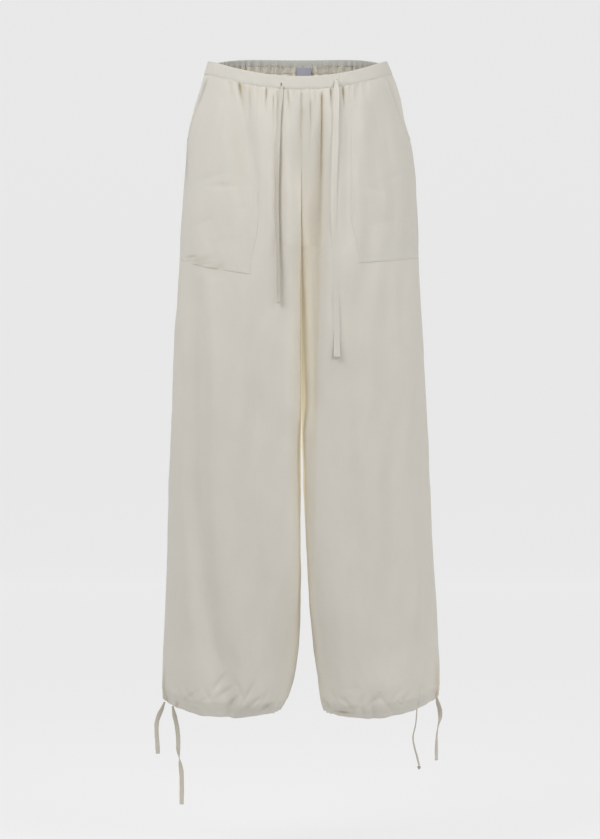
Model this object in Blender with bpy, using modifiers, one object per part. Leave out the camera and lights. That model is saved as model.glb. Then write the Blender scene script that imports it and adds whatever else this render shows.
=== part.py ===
"""Wide-leg pull-on pants, filled out with no wearer in them.

Metres, +Z up. The front faces -Y, and right and left are the wearer's, so right is -X.
The origin is the middle of the waist opening, where a wearer's waist holds the pants.

Each leg has a front and a back panel. A panel is a surface of two parameters: u runs from
the side seam, 0, to the centre seam and inseam, 1, and z is the height. The bands, pockets
and label are made from points of the same surface, moved out or in.
"""

import math
from collections import namedtuple

import bmesh
import bpy
import numpy as np

# Driving dimensions
OUTSEAM = 1.041
FRONT_RISE_DEPTH = 0.300
BAND_HEIGHT = 0.021
RIM_DIP_FRONT = 0.034
RIM_LIFT_BACK = 0.016
CLOTH = 0.0015
BAND_CLOTH = 0.0024
POCKET_CLOTH = 0.0012
SEAM_GAP = 0.0003
SEAM_X = 0.002
CROTCH_Y = 0.006
CORNER_FULLNESS = 2.3

# Heights at which the rows of a panel change their kind
LEVEL_Z = -0.190
CROTCH_Z = -FRONT_RISE_DEPTH
HEM_START_Z = -0.930
HEM_CHANNEL = 0.016

RIGHT, LEFT = -1, 1
FRONT, BACK = -1, 1

# The outline: reach of each side seam from the origin, and depth to the front and to the back
Section = namedtuple("Section", "z right left front back")
SECTIONS = (
    Section(-1.060, 0.219, 0.223, 0.091, 0.091),
    Section(-0.989, 0.220, 0.222, 0.099, 0.099),
    Section(-0.861, 0.215, 0.217, 0.103, 0.103),
    Section(-0.733, 0.210, 0.209, 0.106, 0.107),
    Section(-0.605, 0.206, 0.204, 0.110, 0.112),
    Section(-0.477, 0.201, 0.198, 0.115, 0.120),
    Section(-0.349, 0.194, 0.191, 0.120, 0.132),
    Section(-0.221, 0.186, 0.186, 0.122, 0.137),
    Section(-0.157, 0.182, 0.180, 0.118, 0.132),
    Section(-0.125, 0.180, 0.175, 0.115, 0.126),
    Section(-0.093, 0.174, 0.167, 0.111, 0.119),
    Section(-0.061, 0.164, 0.161, 0.107, 0.111),
    Section(-0.029, 0.155, 0.151, 0.103, 0.104),
    Section(0.000, 0.147, 0.139, 0.100, 0.099),
    Section(0.020, 0.143, 0.135, 0.099, 0.098),
)

# The inseams, where the legs part: x of each leg's inner side, which the drawn-in hem pulls away
Inseam = namedtuple("Inseam", "z right left")
INSEAMS = (
    Inseam(-1.060, -0.048, 0.046),
    Inseam(-1.027, -0.025, 0.034),
    Inseam(-0.989, -0.0115, 0.029),
    Inseam(-0.950, -0.004, 0.023),
    Inseam(-0.861, 0.0004, 0.015),
    Inseam(-0.733, 0.0006, 0.0085),
    Inseam(-0.600, 0.0008, 0.0042),
    Inseam(-0.500, 0.0013, 0.0029),
    Inseam(-0.400, 0.0015, 0.0025),
    Inseam(CROTCH_Z, SEAM_X, SEAM_X),
    Inseam(0.020, SEAM_X, SEAM_X),
)

# The ridge of the legs runs from the centre line at the waist to the middle of each leg
RIDGE_START_Z = -0.090
RIDGE_END_Z = -0.430
RISE_START_Z = {FRONT: -0.195, BACK: -0.165}
RISE_SETTLE = 0.080
RISE_TIGHTNESS = 4

# The hem's lower edge: each side seam is drawn up by the tie in the channel
HEM_LIFT = {RIGHT: 0.024, LEFT: 0.030}
HEM_LIFT_REACH = 0.62

# Front gathers under the band, as troughs: x at the band seam, drift for each metre down,
# depth, half width, and how far down each one runs
Gather = namedtuple("Gather", "x drift depth half_width reach")
FRONT_GATHERS = (
    Gather(-0.098, 0.13, 0.0042, 0.0055, 0.045),
    Gather(-0.081, 0.02, 0.0028, 0.0050, 0.025),
    Gather(-0.054, 0.01, 0.0040, 0.0048, 0.050),
    Gather(-0.043, 0.05, 0.0042, 0.0044, 0.075),
    Gather(-0.030, 0.00, 0.0036, 0.0044, 0.060),
    Gather(-0.018, -0.02, 0.0036, 0.0044, 0.040),
    Gather(SEAM_X, 0.00, 0.0036, 0.0044, 0.060),
    Gather(0.018, 0.00, 0.0042, 0.0046, 0.080),
    Gather(0.035, -0.02, 0.0052, 0.0054, 0.170),
    Gather(0.050, 0.00, 0.0036, 0.0046, 0.035),
    Gather(0.069, 0.02, 0.0040, 0.0050, 0.030),
    Gather(0.089, -0.03, 0.0024, 0.0060, 0.030),
)
GATHER_PUFF = 0.0030
GATHER_PUFF_RISE = 0.015

# Back gathers below the elastic, in each back panel
BACK_GATHERS_PER_PANEL = 16
BACK_GATHER_DEPTH = 0.0016
BACK_GATHER_REACH = 0.060
RUCHE_DEPTH = 0.0008

# Long soft folds down the legs: u and z of both ends, depth and half width in u
LegFold = namedtuple("LegFold", "side face top_u top_z low_u low_z depth half_width")
LEG_FOLDS = (
    LegFold(RIGHT, FRONT, 0.15, -0.38, 0.24, -1.00, 0.0045, 0.07),
    LegFold(RIGHT, FRONT, 0.58, -0.34, 0.52, -0.80, 0.0030, 0.08),
    LegFold(LEFT, FRONT, 0.28, -0.36, 0.20, -0.98, 0.0040, 0.07),
    LegFold(LEFT, FRONT, 0.78, -0.32, 0.70, -0.88, 0.0045, 0.08),
    LegFold(RIGHT, BACK, 0.62, -0.22, 0.50, -0.96, 0.0050, 0.08),
    LegFold(RIGHT, BACK, 0.24, -0.30, 0.26, -0.90, 0.0035, 0.07),
    LegFold(LEFT, BACK, 0.60, -0.24, 0.54, -0.90, 0.0050, 0.08),
    LegFold(LEFT, BACK, 0.26, -0.34, 0.20, -0.98, 0.0035, 0.07),
)
LEG_FOLD_FADE = 0.110

# Puckers that the tie draws into the hem, in each panel
HEM_PUCKERS_PER_PANEL = 8
HEM_PUCKER_DEPTH = 0.0012

# Patch pockets: the mouth slants from the band seam to the side seam
POCKET_INNER_X = {RIGHT: -0.0655, LEFT: 0.0790}
POCKET_MOUTH_U = {RIGHT: 0.23, LEFT: 0.31}
POCKET_TOP_Z = -0.035
POCKET_MOUTH_LOW_Z = -0.133
POCKET_OUTER_LOW_Z = -0.312
POCKET_INNER_LOW_Z = {RIGHT: -0.345, LEFT: -0.328}
POCKET_NARROWING = 0.012
POCKET_BILLOW = 0.0020
POCKET_SIDE_U = 0.012
POCKET_EASE = 0.0003

# Numbers of cells across and down
COLUMNS = 16
GATHERED_SHARES = (0.0, 0.07, 0.18, 0.34)
HIP_SHARES = (0.52, 0.75, 1.0)
RISE_ROWS = 5
LEG_ROW_HEIGHTS = (-0.325, -0.380, -0.465, -0.580, -0.700, -0.820, HEM_START_Z)
HEM_ROWS = (0.045, HEM_CHANNEL, 0.0)
FRONT_BAND_CELLS = 20
POCKET_CELLS = 16
POCKET_ROW_SHARES = (0.0, 0.04, 0.10, 0.18, 0.30, 0.44, 0.60, 0.76, 0.90, 1.0)
TIE_SPACING = 2.4

# Rows of the bands: share of the height, how far it stands out, and how wavy it is
FRONT_BAND_PROUD = 0.0008
FRONT_BAND_ROWS = ((0.0, 0.0002), (0.12, FRONT_BAND_PROUD), (0.88, FRONT_BAND_PROUD), (1.0, 0.0002))
BACK_BAND_ROWS = ((0.0, 0.0, 0.6), (0.5, 0.0012, 1.0), (1.0, 0.0, 0.8))
SEAM_FADE_U = 0.03

TIE_WIDTH = 0.010
HEM_TIE_WIDTH = 0.007
TIE_THICKNESS = 0.0012
# How far each tie's flat side is turned about its length, in degrees
TIE_TURNS = {
    "drawstring_right": 75,
    "drawstring_left": 90,
    "hem_tie_right_outer": 0,
    "hem_tie_right_inner": 30,
    "hem_tie_left_inner": 53,
    "hem_tie_left_outer": 149,
}

# The worked buttonholes that the drawstring comes out of, and the label inside the back
BUTTONHOLE_WIDTH = 0.0045
BUTTONHOLE_HEIGHT = 0.0120
BUTTONHOLE_THREAD = 0.0005
BUTTONHOLE_POINTS = 20
BUTTONHOLE_MIDDLES = {RIGHT: (-0.029, -0.0445), LEFT: (0.057, -0.0400)}
LABEL_WIDTH = 0.028
LABEL_HEIGHT = 0.020
LABEL_MIDDLE_X = 0.008
LABEL_TOP_Z = 0.005
LABEL_CLOTH = 0.0006

# Routes of the free ties, from where each comes out, as points chosen by hand
DRAWSTRING_ROUTES = {
    "drawstring_right": (
        (-0.0290, -0.1076, -0.0470),
        (-0.0300, -0.1098, -0.0620),
        (-0.0318, -0.1150, -0.0900),
        (-0.0335, -0.1195, -0.1300),
        (-0.0350, -0.1236, -0.1800),
        (-0.0358, -0.1262, -0.2300),
        (-0.0350, -0.1268, -0.2800),
        (-0.0342, -0.1265, -0.3300),
        (-0.0335, -0.1258, -0.3900),
    ),
    "drawstring_left": (
        (0.0570, -0.1040, -0.0420),
        (0.0568, -0.1083, -0.0600),
        (0.0560, -0.1140, -0.0900),
        (0.0550, -0.1190, -0.1400),
        (0.0535, -0.1236, -0.1900),
        (0.0528, -0.1262, -0.2400),
        (0.0540, -0.1270, -0.2900),
        (0.0555, -0.1268, -0.3500),
        (0.0568, -0.1262, -0.4100),
        (0.0575, -0.1255, -0.4750),
    ),
}
HEM_TIE_ROUTES = {
    "hem_tie_right_outer": (
        (-0.2150, -0.0310, -1.0198),
        (-0.2190, -0.0312, -1.0300),
        (-0.2245, -0.0305, -1.0420),
        (-0.2275, -0.0295, -1.0530),
        (-0.2280, -0.0290, -1.0650),
        (-0.2268, -0.0288, -1.0840),
        (-0.2258, -0.0288, -1.1020),
    ),
    "hem_tie_right_inner": (
        (-0.2012, -0.0587, -1.0234),
        (-0.1985, -0.0570, -1.0370),
        (-0.1945, -0.0555, -1.0560),
        (-0.1925, -0.0548, -1.0750),
        (-0.1922, -0.0545, -1.0950),
        (-0.1900, -0.0545, -1.1110),
        (-0.1875, -0.0545, -1.1270),
        (-0.1868, -0.0545, -1.1480),
        (-0.1870, -0.0545, -1.1790),
    ),
    "hem_tie_left_inner": (
        (0.1897, 0.0757, -1.0256),
        (0.1900, 0.0755, -1.0440),
        (0.1882, 0.0750, -1.0660),
        (0.1838, 0.0745, -1.0900),
        (0.1862, 0.0745, -1.1040),
        (0.1900, 0.0745, -1.1180),
        (0.1936, 0.0745, -1.1330),
    ),
    "hem_tie_left_outer": (
        (0.2175, 0.0000, -1.0128),
        (0.2205, -0.0010, -1.0240),
        (0.2238, -0.0012, -1.0370),
        (0.2240, -0.0012, -1.0480),
        (0.2212, -0.0012, -1.0600),
        (0.2190, -0.0012, -1.0740),
        (0.2182, -0.0012, -1.0920),
        (0.2182, -0.0012, -1.1160),
    ),
}

CLOTH_COLOUR = (0.78, 0.75, 0.66, 1.0)
BAND_COLOUR = (0.77, 0.74, 0.65, 1.0)
POCKET_COLOUR = (0.79, 0.76, 0.67, 1.0)
TIE_COLOUR = (0.76, 0.73, 0.63, 1.0)
LABEL_COLOUR = (0.62, 0.62, 0.74, 1.0)
CLOTH_ROUGHNESS = 0.85


def smooth_step(value):
    value = np.clip(value, 0.0, 1.0)
    return value * value * (3.0 - 2.0 * value)


def smooth_curve(at, knots, values):
    """Cubic through the knots, with the slope at each one taken from its neighbours."""
    at = np.clip(at, knots[0], knots[-1])
    slopes = np.gradient(values, knots)
    left = np.clip(np.searchsorted(knots, at) - 1, 0, len(knots) - 2)
    width = knots[left + 1] - knots[left]
    part = (at - knots[left]) / width
    rise = 3.0 * part**2 - 2.0 * part**3
    lead = (part**3 - 2.0 * part**2 + part) * width
    trail = (part**3 - part**2) * width
    joined = values[left] * (1.0 - rise) + values[left + 1] * rise
    return joined + slopes[left] * lead + slopes[left + 1] * trail


def column(table, name, z):
    """One named column of a table of sections, read at height z."""
    knots = np.array([row.z for row in table])
    values = np.array([getattr(row, name) for row in table])
    return smooth_curve(z, knots, values)


def side_name(side):
    return "right" if side == RIGHT else "left"


def outer_x(side, z):
    return side * column(SECTIONS, side_name(side), z)


def quarter_length(half_width, depth):
    """Roughly the length of a quarter of an ellipse."""
    return 0.5 * math.pi * np.sqrt(0.5 * (half_width**2 + depth**2))


def base_surface(side, face, u, z):
    """Two quarters of a superellipse: side seam to ridge, then ridge to centre seam or inseam.

    Above the rise the ridge is near the centre line. Between the rise's start and the crotch
    the inner end moves back along a quarter ellipse, which is the crotch curve of the pattern,
    and the thigh beside it turns in more slowly.
    """
    outer = outer_x(side, z)
    inner = column(INSEAMS, side_name(side), z)
    depth = face * column(SECTIONS, "front" if face == FRONT else "back", z)
    ridge_share = 0.5 * smooth_step((RIDGE_START_Z - z) / (RIDGE_START_Z - RIDGE_END_Z))
    ridge = inner + (outer - inner) * ridge_share
    rise = np.clip((RISE_START_Z[face] - z) / (RISE_START_Z[face] - CROTCH_Z), 0.0, 1.0)
    tucked_seam = 1.0 - np.sqrt(1.0 - rise**2)
    settle_z = CROTCH_Z - RISE_SETTLE
    tucked_thigh = smooth_step((RISE_START_Z[face] - z) / (RISE_START_Z[face] - settle_z))
    first = quarter_length(np.abs(outer - ridge), np.abs(depth))
    second = quarter_length(np.abs(ridge - inner), np.abs(depth - CROTCH_Y) * tucked_thigh)
    share = first / (first + second)
    power = 2.0 / CORNER_FULLNESS
    turn = 0.5 * math.pi * np.clip(u / share, 0.0, 1.0)
    part_in = np.clip((u - share) / np.maximum(1.0 - share, 1e-9), 0.0, 1.0)
    turn_in = 0.5 * math.pi * part_in
    near_seam = part_in**RISE_TIGHTNESS
    tucked = tucked_thigh * (1.0 - near_seam) + tucked_seam * near_seam
    end_y = depth * (1.0 - tucked) + CROTCH_Y * tucked
    outside = u < share
    x = np.where(
        outside,
        ridge + (outer - ridge) * np.abs(np.cos(turn)) ** power,
        ridge + (inner - ridge) * np.sin(turn_in) ** power,
    )
    y = np.where(
        outside,
        depth * np.sin(turn) ** power,
        end_y + (depth - end_y) * np.abs(np.cos(turn_in)) ** power,
    )
    return np.stack([x, y, z], axis=-1)


def outward(side, face, u, z):
    """Unit normal of the base surface, from differences along u and z."""
    step_u, step_z = 0.004, 0.002
    low_u = np.clip(u - step_u, 0.0, 1.0)
    high_u = np.clip(u + step_u, 0.0, 1.0)
    along_u = base_surface(side, face, high_u, z) - base_surface(side, face, low_u, z)
    along_z = base_surface(side, face, u, z + step_z) - base_surface(side, face, u, z - step_z)
    normal = np.cross(along_u, along_z) * (side * face)
    return normal / np.linalg.norm(normal, axis=-1, keepdims=True)


def rim_height(side, face, u):
    """Height of the waist's rim: it dips in front and rises behind, as a parabola in x."""
    at_waist = base_surface(side, face, u, np.zeros_like(u))[..., 0]
    spread = (at_waist - SEAM_X) / (outer_x(side, np.zeros_like(u)) - SEAM_X)
    middle = -RIM_DIP_FRONT if face == FRONT else RIM_LIFT_BACK
    return middle * (1.0 - spread**2)


def hem_height(side, u):
    """Height of the lower edge: lowest at the inseam, drawn up to the side seam as a cosine."""
    lift = 0.5 + 0.5 * np.cos(math.pi * np.clip(u / HEM_LIFT_REACH, 0.0, 1.0))
    return -OUTSEAM + HEM_LIFT[side] * lift


def front_gathers(x, below_seam):
    """Troughs between soft ridges, each fading with the distance below the band seam."""
    puff = GATHER_PUFF * (1.0 - np.exp(-below_seam / GATHER_PUFF_RISE))
    fade_out = np.exp(-((below_seam / 0.120) ** 2)) * np.exp(-((x / 0.115) ** 4))
    total = puff * fade_out
    for fold in FRONT_GATHERS:
        distance = (x - fold.x - fold.drift * below_seam) / fold.half_width
        depth = fold.depth * (1.0 - 0.7 * np.exp(-below_seam / 0.010))
        total = total - depth * np.exp(-(distance**2)) * np.exp(-((below_seam / fold.reach) ** 2))
    return total


def back_phase(u):
    """Phase of the back gathers, a little uneven in their spacing."""
    even = 2.0 * math.pi * BACK_GATHERS_PER_PANEL * u
    return even + 0.9 * np.sin(2.0 * math.pi * 2.0 * u) + 0.5 * np.sin(2.0 * math.pi * 5.0 * u)


def back_gathers(u, below_seam):
    fade = np.exp(-((below_seam / BACK_GATHER_REACH) ** 2)) * smooth_step(u / 0.10)
    fade = fade * smooth_step((1.0 - u) / 0.03)
    return BACK_GATHER_DEPTH * np.cos(back_phase(u)) * fade


def leg_folds(side, face, u, z):
    total = np.zeros_like(u)
    for fold in LEG_FOLDS:
        if (fold.side, fold.face) != (side, face):
            continue
        part = (z - fold.top_z) / (fold.low_z - fold.top_z)
        middle = fold.top_u + (fold.low_u - fold.top_u) * np.clip(part, 0.0, 1.0)
        ends = smooth_step((fold.top_z - z) / LEG_FOLD_FADE + 0.5)
        ends = ends * smooth_step((z - fold.low_z) / LEG_FOLD_FADE + 0.5)
        total = total - fold.depth * np.exp(-(((u - middle) / fold.half_width) ** 2)) * ends
    return total


def hem_relief(side, u, z):
    """The sewn channel stands a little proud below its stitching, with puckers along it."""
    above_edge = z - hem_height(side, u)
    stitched = -0.0006 * np.exp(-(((above_edge - HEM_CHANNEL) / 0.0025) ** 2))
    near = np.exp(-((above_edge / 0.022) ** 2)) * smooth_step(u / 0.05) * smooth_step((1 - u) / 0.05)
    puckers = HEM_PUCKER_DEPTH * np.cos(2.0 * math.pi * HEM_PUCKERS_PER_PANEL * u + 3.0 * u**2)
    return stitched + puckers * near


def base_point(side, face, u, z, moved_out):
    return base_surface(side, face, u, z) + outward(side, face, u, z) * moved_out[..., None]


def panel_surface(side, face, u, z, lifted=0.0):
    """A point of a panel's outer face, moved out by lifted, and clear of the seam planes."""
    base = base_surface(side, face, u, z)
    below_seam = np.maximum(rim_height(side, face, u) - BAND_HEIGHT - z, 0.0)
    if face == FRONT:
        relief = front_gathers(base[..., 0], below_seam)
    else:
        relief = back_gathers(u, below_seam)
    relief = relief + leg_folds(side, face, u, z) + hem_relief(side, u, z)
    above_rise = smooth_step((z - RISE_START_Z[face]) / 0.040)
    inner_fade = np.maximum(smooth_step((1.0 - u) / SEAM_FADE_U), above_rise)
    relief = relief * inner_fade * smooth_step(u / SEAM_FADE_U)
    points = base_point(side, face, u, z, relief + lifted)
    points[..., 0] = SEAM_X + side * np.maximum(side * (points[..., 0] - SEAM_X), 0.0)
    return points + np.array([side * SEAM_GAP / 2, face * SEAM_GAP / 2, 0.0])


def seam_height(side, face, u):
    return rim_height(side, face, u) - BAND_HEIGHT


def panel_rows(side, face):
    """Each row of a panel from the band seam to the hem: its u values and its heights."""
    rows = []

    def across(cells):
        return np.linspace(0.0, 1.0, cells + 1)

    for cells, shares in ((4 * COLUMNS, GATHERED_SHARES), (2 * COLUMNS, HIP_SHARES)):
        u = across(cells)
        top = seam_height(side, face, u) - SEAM_GAP
        rows += [(u, top + (LEVEL_Z - top) * share) for share in shares]
    u = across(COLUMNS)
    for step in range(1, RISE_ROWS + 1):
        turn = 0.5 * math.pi * step / RISE_ROWS
        height = LEVEL_Z + (CROTCH_Z - LEVEL_Z) * math.sin(turn)
        rows.append((u, np.full_like(u, height)))
    rows += [(u, np.full_like(u, height)) for height in LEG_ROW_HEIGHTS]
    u = across(2 * COLUMNS)
    rows += [(u, hem_height(side, u) + above) for above in HEM_ROWS]
    return rows


def joined_rows(grids, flip):
    """Faces between rows of points: quads, or a fan of three where a row has twice the cells."""
    starts = np.cumsum([0] + [len(grid) for grid in grids])
    faces = []
    for top, low, start, next_start in zip(grids, grids[1:], starts, starts[1:]):
        above, below = len(top) - 1, len(low) - 1
        if above == below:
            for cell in range(above):
                a, b = start + cell, next_start + cell
                faces.append((a, a + 1, b + 1, b))
        elif above == 2 * below:
            for cell in range(below):
                a, b = start + 2 * cell, next_start + cell
                faces += [(a, a + 1, b), (a + 1, b + 1, b), (a + 1, a + 2, b + 1)]
        else:
            for cell in range(above):
                a, b = start + cell, next_start + 2 * cell
                faces += [(a, b + 1, b), (a, a + 1, b + 1), (a + 1, b + 2, b + 1)]
    if flip:
        faces = [face[::-1] for face in faces]
    return np.concatenate(grids), faces


def cloth_object(name, grids, flip, wall, finish, collection):
    """An open surface of rows of points, made a closed wall that lies inside them."""
    points, faces = joined_rows(grids, flip)
    mesh = bpy.data.meshes.new(name)
    mesh.from_pydata(points.tolist(), [], faces)
    mesh.materials.append(finish)
    mesh.shade_smooth()
    made = bpy.data.objects.new(name, mesh)
    collection.objects.link(made)
    thickness = made.modifiers.new("wall", "SOLIDIFY")
    thickness.thickness = wall
    thickness.offset = -1.0
    return made


def make_panel(name, side, face, finish, collection):
    grids = [panel_surface(side, face, u, z) for u, z in panel_rows(side, face)]
    return cloth_object(name, grids, side * face > 0, CLOTH, finish, collection)


def band_stations(cells):
    """(side, u) from the right side seam over the centre to the left side seam."""
    u = np.linspace(0.0, 1.0, cells + 1)
    return ((RIGHT, u), (LEFT, u[-2::-1]))


def make_front_band(finish, collection):
    """A flat strip between the rim and the band seam."""
    grids = []
    for share, proud in FRONT_BAND_ROWS:
        row = []
        for side, u in band_stations(FRONT_BAND_CELLS):
            z = rim_height(side, FRONT, u) - BAND_HEIGHT * share
            row.append(base_point(side, FRONT, u, z, np.full_like(u, proud)))
        grids.append(np.concatenate(row) + np.array([0.0, -SEAM_GAP / 2, 0.0]))
    return cloth_object("waistband_front", grids, True, BAND_CLOTH, finish, collection)


def make_back_band(finish, collection):
    """An elastic band whose outer face waves in and out along its whole length."""
    grids = []
    for share, proud, waviness in BACK_BAND_ROWS:
        row = []
        for side, u in band_stations(4 * BACK_GATHERS_PER_PANEL):
            z = rim_height(side, BACK, u) - BAND_HEIGHT * share
            wave = RUCHE_DEPTH * waviness * np.cos(back_phase(u)) * smooth_step(u / 0.08)
            row.append(base_point(side, BACK, u, z, proud + wave))
        grids.append(np.concatenate(row) + np.array([0.0, SEAM_GAP / 2, 0.0]))
    return cloth_object("waistband_back", grids, False, BAND_CLOTH, finish, collection)


def u_where_x(side, face, x, z):
    """The u of a front or back panel at which its surface passes x, at height z."""
    tried = np.linspace(0.0, 1.0, 241)
    passed = side * base_surface(side, face, tried, np.full_like(tried, z))[..., 0]
    return float(np.interp(side * x, passed[::-1], tried[::-1]))


def pocket_edges(side, down):
    """u of a pocket's outer and inner edges at a share of the way down."""
    inner_z = POCKET_TOP_Z + (POCKET_INNER_LOW_Z[side] - POCKET_TOP_Z) * down
    narrowing = POCKET_NARROWING * smooth_step((down - 0.70) / 0.30)
    inner_u = u_where_x(side, FRONT, POCKET_INNER_X[side] + side * narrowing, inner_z)
    outer_z = POCKET_TOP_Z + (POCKET_OUTER_LOW_Z - POCKET_TOP_Z) * down
    fallen = np.clip((POCKET_TOP_Z - outer_z) / (POCKET_TOP_Z - POCKET_MOUTH_LOW_Z), 0.0, 1.0)
    outer_u = POCKET_SIDE_U + POCKET_MOUTH_U[side] * (1.0 - fallen**2) ** 0.7
    return outer_u, inner_u


def make_pocket(name, side, finish, collection):
    """A patch over the panel: its points are the panel's own, moved out, with a slight billow."""
    grids = []
    across = np.linspace(0.0, 1.0, POCKET_CELLS + 1)
    for down in POCKET_ROW_SHARES:
        outer_u, inner_u = pocket_edges(side, down)
        u = outer_u + (inner_u - outer_u) * across
        low = POCKET_OUTER_LOW_Z + (POCKET_INNER_LOW_Z[side] - POCKET_OUTER_LOW_Z) * across
        top = seam_height(side, FRONT, u) - SEAM_GAP
        z = top + (low - top) * down
        bulge = np.sin(math.pi * across) ** 0.8 * math.sin(math.pi * min(down + 0.05, 1.0)) ** 0.8
        lifted = POCKET_EASE * (1.0 + 2.0 * (1.0 - across)) + SEAM_GAP + POCKET_CLOTH + POCKET_BILLOW * bulge
        grids.append(panel_surface(side, FRONT, u, z, lifted))
    return cloth_object(name, grids, side * FRONT > 0, POCKET_CLOTH, finish, collection)


def make_label(finish, collection):
    """A plain woven rectangle that hangs inside the back, just clear of the ruched band."""
    grids = []
    x = np.linspace(LABEL_MIDDLE_X - LABEL_WIDTH / 2, LABEL_MIDDLE_X + LABEL_WIDTH / 2, 5)
    inside = BAND_CLOTH + RUCHE_DEPTH + 2 * SEAM_GAP
    for z in np.linspace(LABEL_TOP_Z, LABEL_TOP_Z - LABEL_HEIGHT, 5):
        depth = float(column(SECTIONS, "back", np.array([z]))[0]) - inside
        grids.append(np.stack([x, np.full_like(x, depth), np.full_like(x, z)], axis=-1))
    return cloth_object("label", grids, False, LABEL_CLOTH, finish, collection)


def smooth_route(points, spacing):
    """Points at an even spacing along a smooth curve through the route's own points."""
    route = np.array(points)
    steps = np.linalg.norm(np.diff(route, axis=0), axis=1)
    travelled = np.concatenate([[0.0], np.cumsum(steps)])
    fine = np.linspace(0.0, travelled[-1], 400)
    curve = np.stack([smooth_curve(fine, travelled, route[:, axis]) for axis in range(3)], -1)
    lengths = np.concatenate([[0.0], np.cumsum(np.linalg.norm(np.diff(curve, axis=0), axis=1))])
    count = max(int(round(lengths[-1] / spacing)), 4)
    even = np.linspace(0.0, lengths[-1], count + 1)
    return np.stack([np.interp(even, lengths, curve[:, axis]) for axis in range(3)], axis=-1)


def make_tie(name, route, width, finish, collection):
    """A flat tie: a curve drawn out to its width, with thin rounded edges and filled ends."""
    curve = bpy.data.curves.new(name, "CURVE")
    curve.dimensions = "3D"
    curve.fill_mode = "FULL"
    curve.use_fill_caps = True
    curve.extrude = 0.5 * (width - TIE_THICKNESS)
    curve.bevel_depth = 0.5 * TIE_THICKNESS
    curve.bevel_resolution = 2
    curve.twist_mode = "MINIMUM"
    points = smooth_route(route, TIE_SPACING * width)
    spline = curve.splines.new("POLY")
    spline.points.add(len(points) - 1)
    spline.points.foreach_set("co", np.pad(points, ((0, 0), (0, 1)), constant_values=1.0).ravel())
    spline.points.foreach_set("tilt", np.full(len(points), math.radians(TIE_TURNS[name])))
    curve.materials.append(finish)
    made = bpy.data.objects.new(name, curve)
    collection.objects.link(made)
    return made


def make_buttonhole(name, side, middle_x, middle_z, finish, collection):
    """A worked oblong ring that lies on the front band, round the hole that a tie comes out of."""
    turn = np.linspace(0.0, 2.0 * math.pi, BUTTONHOLE_POINTS, endpoint=False)
    x = middle_x + 0.5 * BUTTONHOLE_WIDTH * np.cos(turn)
    z = middle_z + 0.5 * BUTTONHOLE_HEIGHT * np.sin(turn)
    u = np.array([u_where_x(side, FRONT, one_x, one_z) for one_x, one_z in zip(x, z)])
    proud = FRONT_BAND_PROUD + SEAM_GAP + BUTTONHOLE_THREAD
    points = base_point(side, FRONT, u, z, np.full_like(u, proud))
    curve = bpy.data.curves.new(name, "CURVE")
    curve.dimensions = "3D"
    curve.bevel_depth = BUTTONHOLE_THREAD
    curve.bevel_resolution = 1
    spline = curve.splines.new("POLY")
    spline.points.add(len(points) - 1)
    spline.points.foreach_set("co", np.pad(points, ((0, 0), (0, 1)), constant_values=1.0).ravel())
    spline.use_cyclic_u = True
    curve.materials.append(finish)
    made = bpy.data.objects.new(name, curve)
    collection.objects.link(made)
    return made


def make_knot(name, route, finish, collection):
    """The small knot at the end of one hem tie, a rounded lump just past the tie's end."""
    end = np.array(route[-1])
    mesh = bpy.data.meshes.new(name)
    shape = bmesh.new()
    bmesh.ops.create_icosphere(shape, subdivisions=2, radius=1.0)
    size = np.array([0.5 * HEM_TIE_WIDTH, 0.35 * HEM_TIE_WIDTH, 0.5 * HEM_TIE_WIDTH])
    middle = end - np.array([0.0, 0.0, SEAM_GAP + size[2]])
    for vertex in shape.verts:
        vertex.co = middle + size * np.array(vertex.co)
    shape.to_mesh(mesh)
    shape.free()
    mesh.materials.append(finish)
    mesh.shade_smooth()
    made = bpy.data.objects.new(name, mesh)
    collection.objects.link(made)
    return made


def material(name, colour, roughness=CLOTH_ROUGHNESS):
    made = bpy.data.materials.new(name)
    made.use_nodes = True
    shader = made.node_tree.nodes["Principled BSDF"]
    shader.inputs["Base Color"].default_value = colour
    shader.inputs["Roughness"].default_value = roughness
    shader.inputs["Metallic"].default_value = 0.0
    return made


def clear_scene():
    for old in list(bpy.data.objects):
        bpy.data.objects.remove(old, do_unlink=True)


def main():
    clear_scene()
    pants = bpy.data.collections.new("wide_leg_pants")
    bpy.context.scene.collection.children.link(pants)
    cloth = material("cloth", CLOTH_COLOUR)
    band = material("band", BAND_COLOUR)
    pocket = material("pocket", POCKET_COLOUR)
    tie = material("tie", TIE_COLOUR)
    thread = material("thread", TIE_COLOUR)
    woven = material("label", LABEL_COLOUR)
    for side in (RIGHT, LEFT):
        for face, face_name in ((FRONT, "front"), (BACK, "back")):
            make_panel(f"{face_name}_{side_name(side)}", side, face, cloth, pants)
        make_pocket(f"pocket_{side_name(side)}", side, pocket, pants)
        middle_x, middle_z = BUTTONHOLE_MIDDLES[side]
        make_buttonhole(f"buttonhole_{side_name(side)}", side, middle_x, middle_z, thread, pants)
    make_front_band(band, pants)
    make_back_band(band, pants)
    make_label(woven, pants)
    for name, route in DRAWSTRING_ROUTES.items():
        make_tie(name, route, TIE_WIDTH, tie, pants)
    for name, route in HEM_TIE_ROUTES.items():
        make_tie(name, route, HEM_TIE_WIDTH, tie, pants)
    make_knot("tie_knot", HEM_TIE_ROUTES["hem_tie_left_inner"], tie, pants)


main()
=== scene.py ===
"""The looks of a pair of wide-leg pull-on pants: cloth, bands, pockets, ties and stitching.

Metres, +Z up. The front faces -Y, and right and left are the wearer's, so right is -X.
Each leg has a front and a back panel, which is a surface of two parameters: u runs from the
side seam, 0, to the centre seam and inseam, 1, and z is the height. What lies on a panel is
made from the panel's own points, moved out.
"""

import math
from collections import namedtuple

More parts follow.
